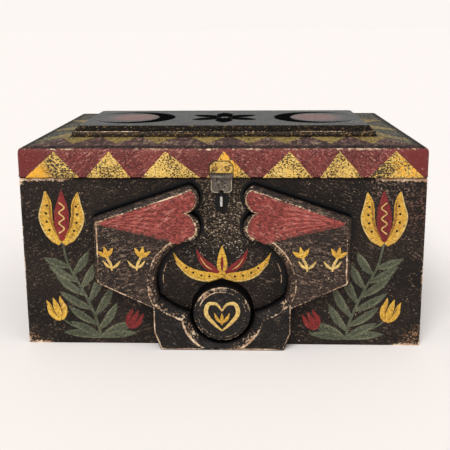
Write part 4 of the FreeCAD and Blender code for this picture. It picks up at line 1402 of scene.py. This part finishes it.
def screw_slots():
    """A black stroke across the head of each hinge screw: painted shade standing for its slot."""
    for node, body in SCREWS.items():
        low, high = span(node)
        level = (low.z + high.z) / 2
        screws = frame["nodes"][node]
        places = [screws.matrix_world @ v.co / MM for v in screws.data.vertices]
        across = sorted({round(place.x, 2) for place in places if place.y > high.y - 0.01})
        ends = [0, *(i for i, x in enumerate(across) if i and x - across[i - 1] > SCREW_GAP), len(across)]
        paint = Paint(Plane((0, high.y, 0), (-1, 0, 0), (0, 0, 1)))
        for turn, (first, last) in enumerate(zip(ends, ends[1:])):
            middle = Vector((-(across[first] + across[last - 1]) / 2, level))
            angle = SLOT_TURN * turn
            reach = Vector((math.cos(angle), math.sin(angle))) * (high.z - low.z) * SLOT_REACH
            # A black stroke: painted shade where the slot would be cut
            paint.stroke([(*(middle + side * reach), SLOT_WIDTH) for side in (-1, 1)], lift=0.08)
        paint.piece(f"{node}_slots", body, "iron", LINE_BLACK)


def carry_over():
    """Materials for the nodes that stay as they are."""
    looks = {"bare_wood": WOOD, "iron": IRON}
    for part in frame["record"]["subparts"]:
        look = looks.get(part["material_slot"])
        if part["node"] in SCREWS:
            look = SCREW_IRON
        if look:
            mesh = frame["nodes"][part["node"]].data
            mesh.materials.clear()
            mesh.materials.append(look)


def aimed(heading, down):
    """The turn of a camera or lamp that points right of +Y by a heading and down from level, in degrees."""
    turn, tilt = math.radians(heading), math.radians(down)
    ahead = Vector((math.sin(turn) * math.cos(tilt), math.cos(turn) * math.cos(tilt), -math.sin(tilt)))
    return ahead.to_track_quat("-Z", "Y")


def camera():
    """The photograph's viewpoint: 450 pixels wide, with its optical axis at row 150."""
    pixels, axis_row, focal_pixels = 450, 150, 659.3
    stand, yaw, pitch, roll = Vector((19.9, -655.9, 274.5)), -1.777, 10.536, -0.373
    data = bpy.data.cameras.new("camera")
    data.sensor_width = 36
    data.lens = focal_pixels * data.sensor_width / pixels
    data.shift_y = (axis_row - pixels / 2) / pixels
    made = placed("camera", data)
    made.location = stand * MM
    made.rotation_mode = "QUATERNION"
    made.rotation_quaternion = aimed(yaw, pitch) @ Quaternion((0, 0, 1), math.radians(roll))
    bpy.context.scene.camera = made


SKY = 0.5
SUNS = (("key", 18, 50, 30, 1.85), ("fill", -40, 50, 60, 0.45))


def stage():
    """A pale floor, a pale sky and soft suns: each shines towards a heading from a height, in degrees."""
    mesh = bpy.data.meshes.new("floor")
    reach = 60
    corners = [(x * reach, y * reach, 0) for x, y in ((-1, -1), (1, -1), (1, 1), (-1, 1))]
    mesh.from_pydata(corners, [], [(0, 1, 2, 3)])
    look = Look("floor")
    settings = {"Base Color": rgb(248, 241.5, 237.5), "Roughness": 0.9, "Specular IOR Level": 0}
    for name, setting in settings.items():
        look.feed(look.shader.inputs[name], setting)
    mesh.materials.append(look.material)
    floor = placed("floor", mesh)

    world = bpy.data.worlds.new("world")
    bpy.context.scene.world = world
    world.use_nodes = True
    sky = Nodes(world.node_tree)
    seen = sky.node("ShaderNodeLightPath").outputs["Is Camera Ray"]
    strength = sky.node("ShaderNodeMapRange", {"Value": seen, "To Min": SKY, "To Max": 1})
    background = sky.tree.nodes["Background"]
    sky.feed(background.inputs["Color"], sky.mix(seen, (255, 255, 255), (253, 247, 243)))
    sky.feed(background.inputs["Strength"], strength.outputs["Result"])

    for name, heading, height, softness, power in SUNS:
        light = bpy.data.lights.new(name, "SUN")
        light.angle = math.radians(softness)
        light.energy = power
        lamp = placed(name, light)
        lamp.rotation_mode = "QUATERNION"
        lamp.rotation_quaternion = aimed(heading, height)


def build():
    carry_over()
    boards()
    outline, widths, wears = wing_outline()
    carved("right_wing_carved", outline, widths, wears, "right_wing", WING_PAINT, arris_wear=1.02)
    widths, wears = (edges[-2::-1] + edges[-1:] for edges in (widths, wears))
    carved("left_wing_carved", mirrored(outline), widths, wears, "left_wing", WING_PAINT, arris_wear=1.02)
    carved("foot_carved", *foot_outline(), "foot_block", FOOT_PAINT, arris_wear=1.12)
    roundel()
    lid_board()
    lid_panel()
    sawteeth()
    hearts()
    heart_strokes()
    cut_shade_lines()
    plants()
    oval_flower()
    roundel_heart()
    wing_sprigs()
    hasp_hole_shadow()
    hasp_marks()
    screw_slots()
    looks = [PLATE_PAINT, BUFF, LEAF_PAINT]
    softened("hasp_plate_painted", "hasp_plate", "lid", looks, 0.4, (PLATE_LOW, math.inf))
    # The leaf's eased edges take the pale leaf_edge paint: worn paint and a painted highlight
    softened("hasp_leaf_painted", "hasp_leaf", "hasp", [LEAF_PAINT, LEAF_EDGE], 0.3)
    softened("hasp_nails_painted", "hasp_nails", "lid", [NAIL_PAINT, NAIL_PAINT], 0.2)
    # The staple is bright only in a band across its front, a painted highlight on rubbed iron, and black
    # above and below it
    bright = (STAPLE[0].z + 3.2, STAPLE[0].z + 11.6)
    softened("staple_rubbed_and_highlit", "staple", "box", [BRIGHT_IRON, BRIGHT_IRON, LINE_BLACK], 0.1, bright)


build()
camera()
stage()
bpy.context.scene.view_settings.view_transform = "Standard"
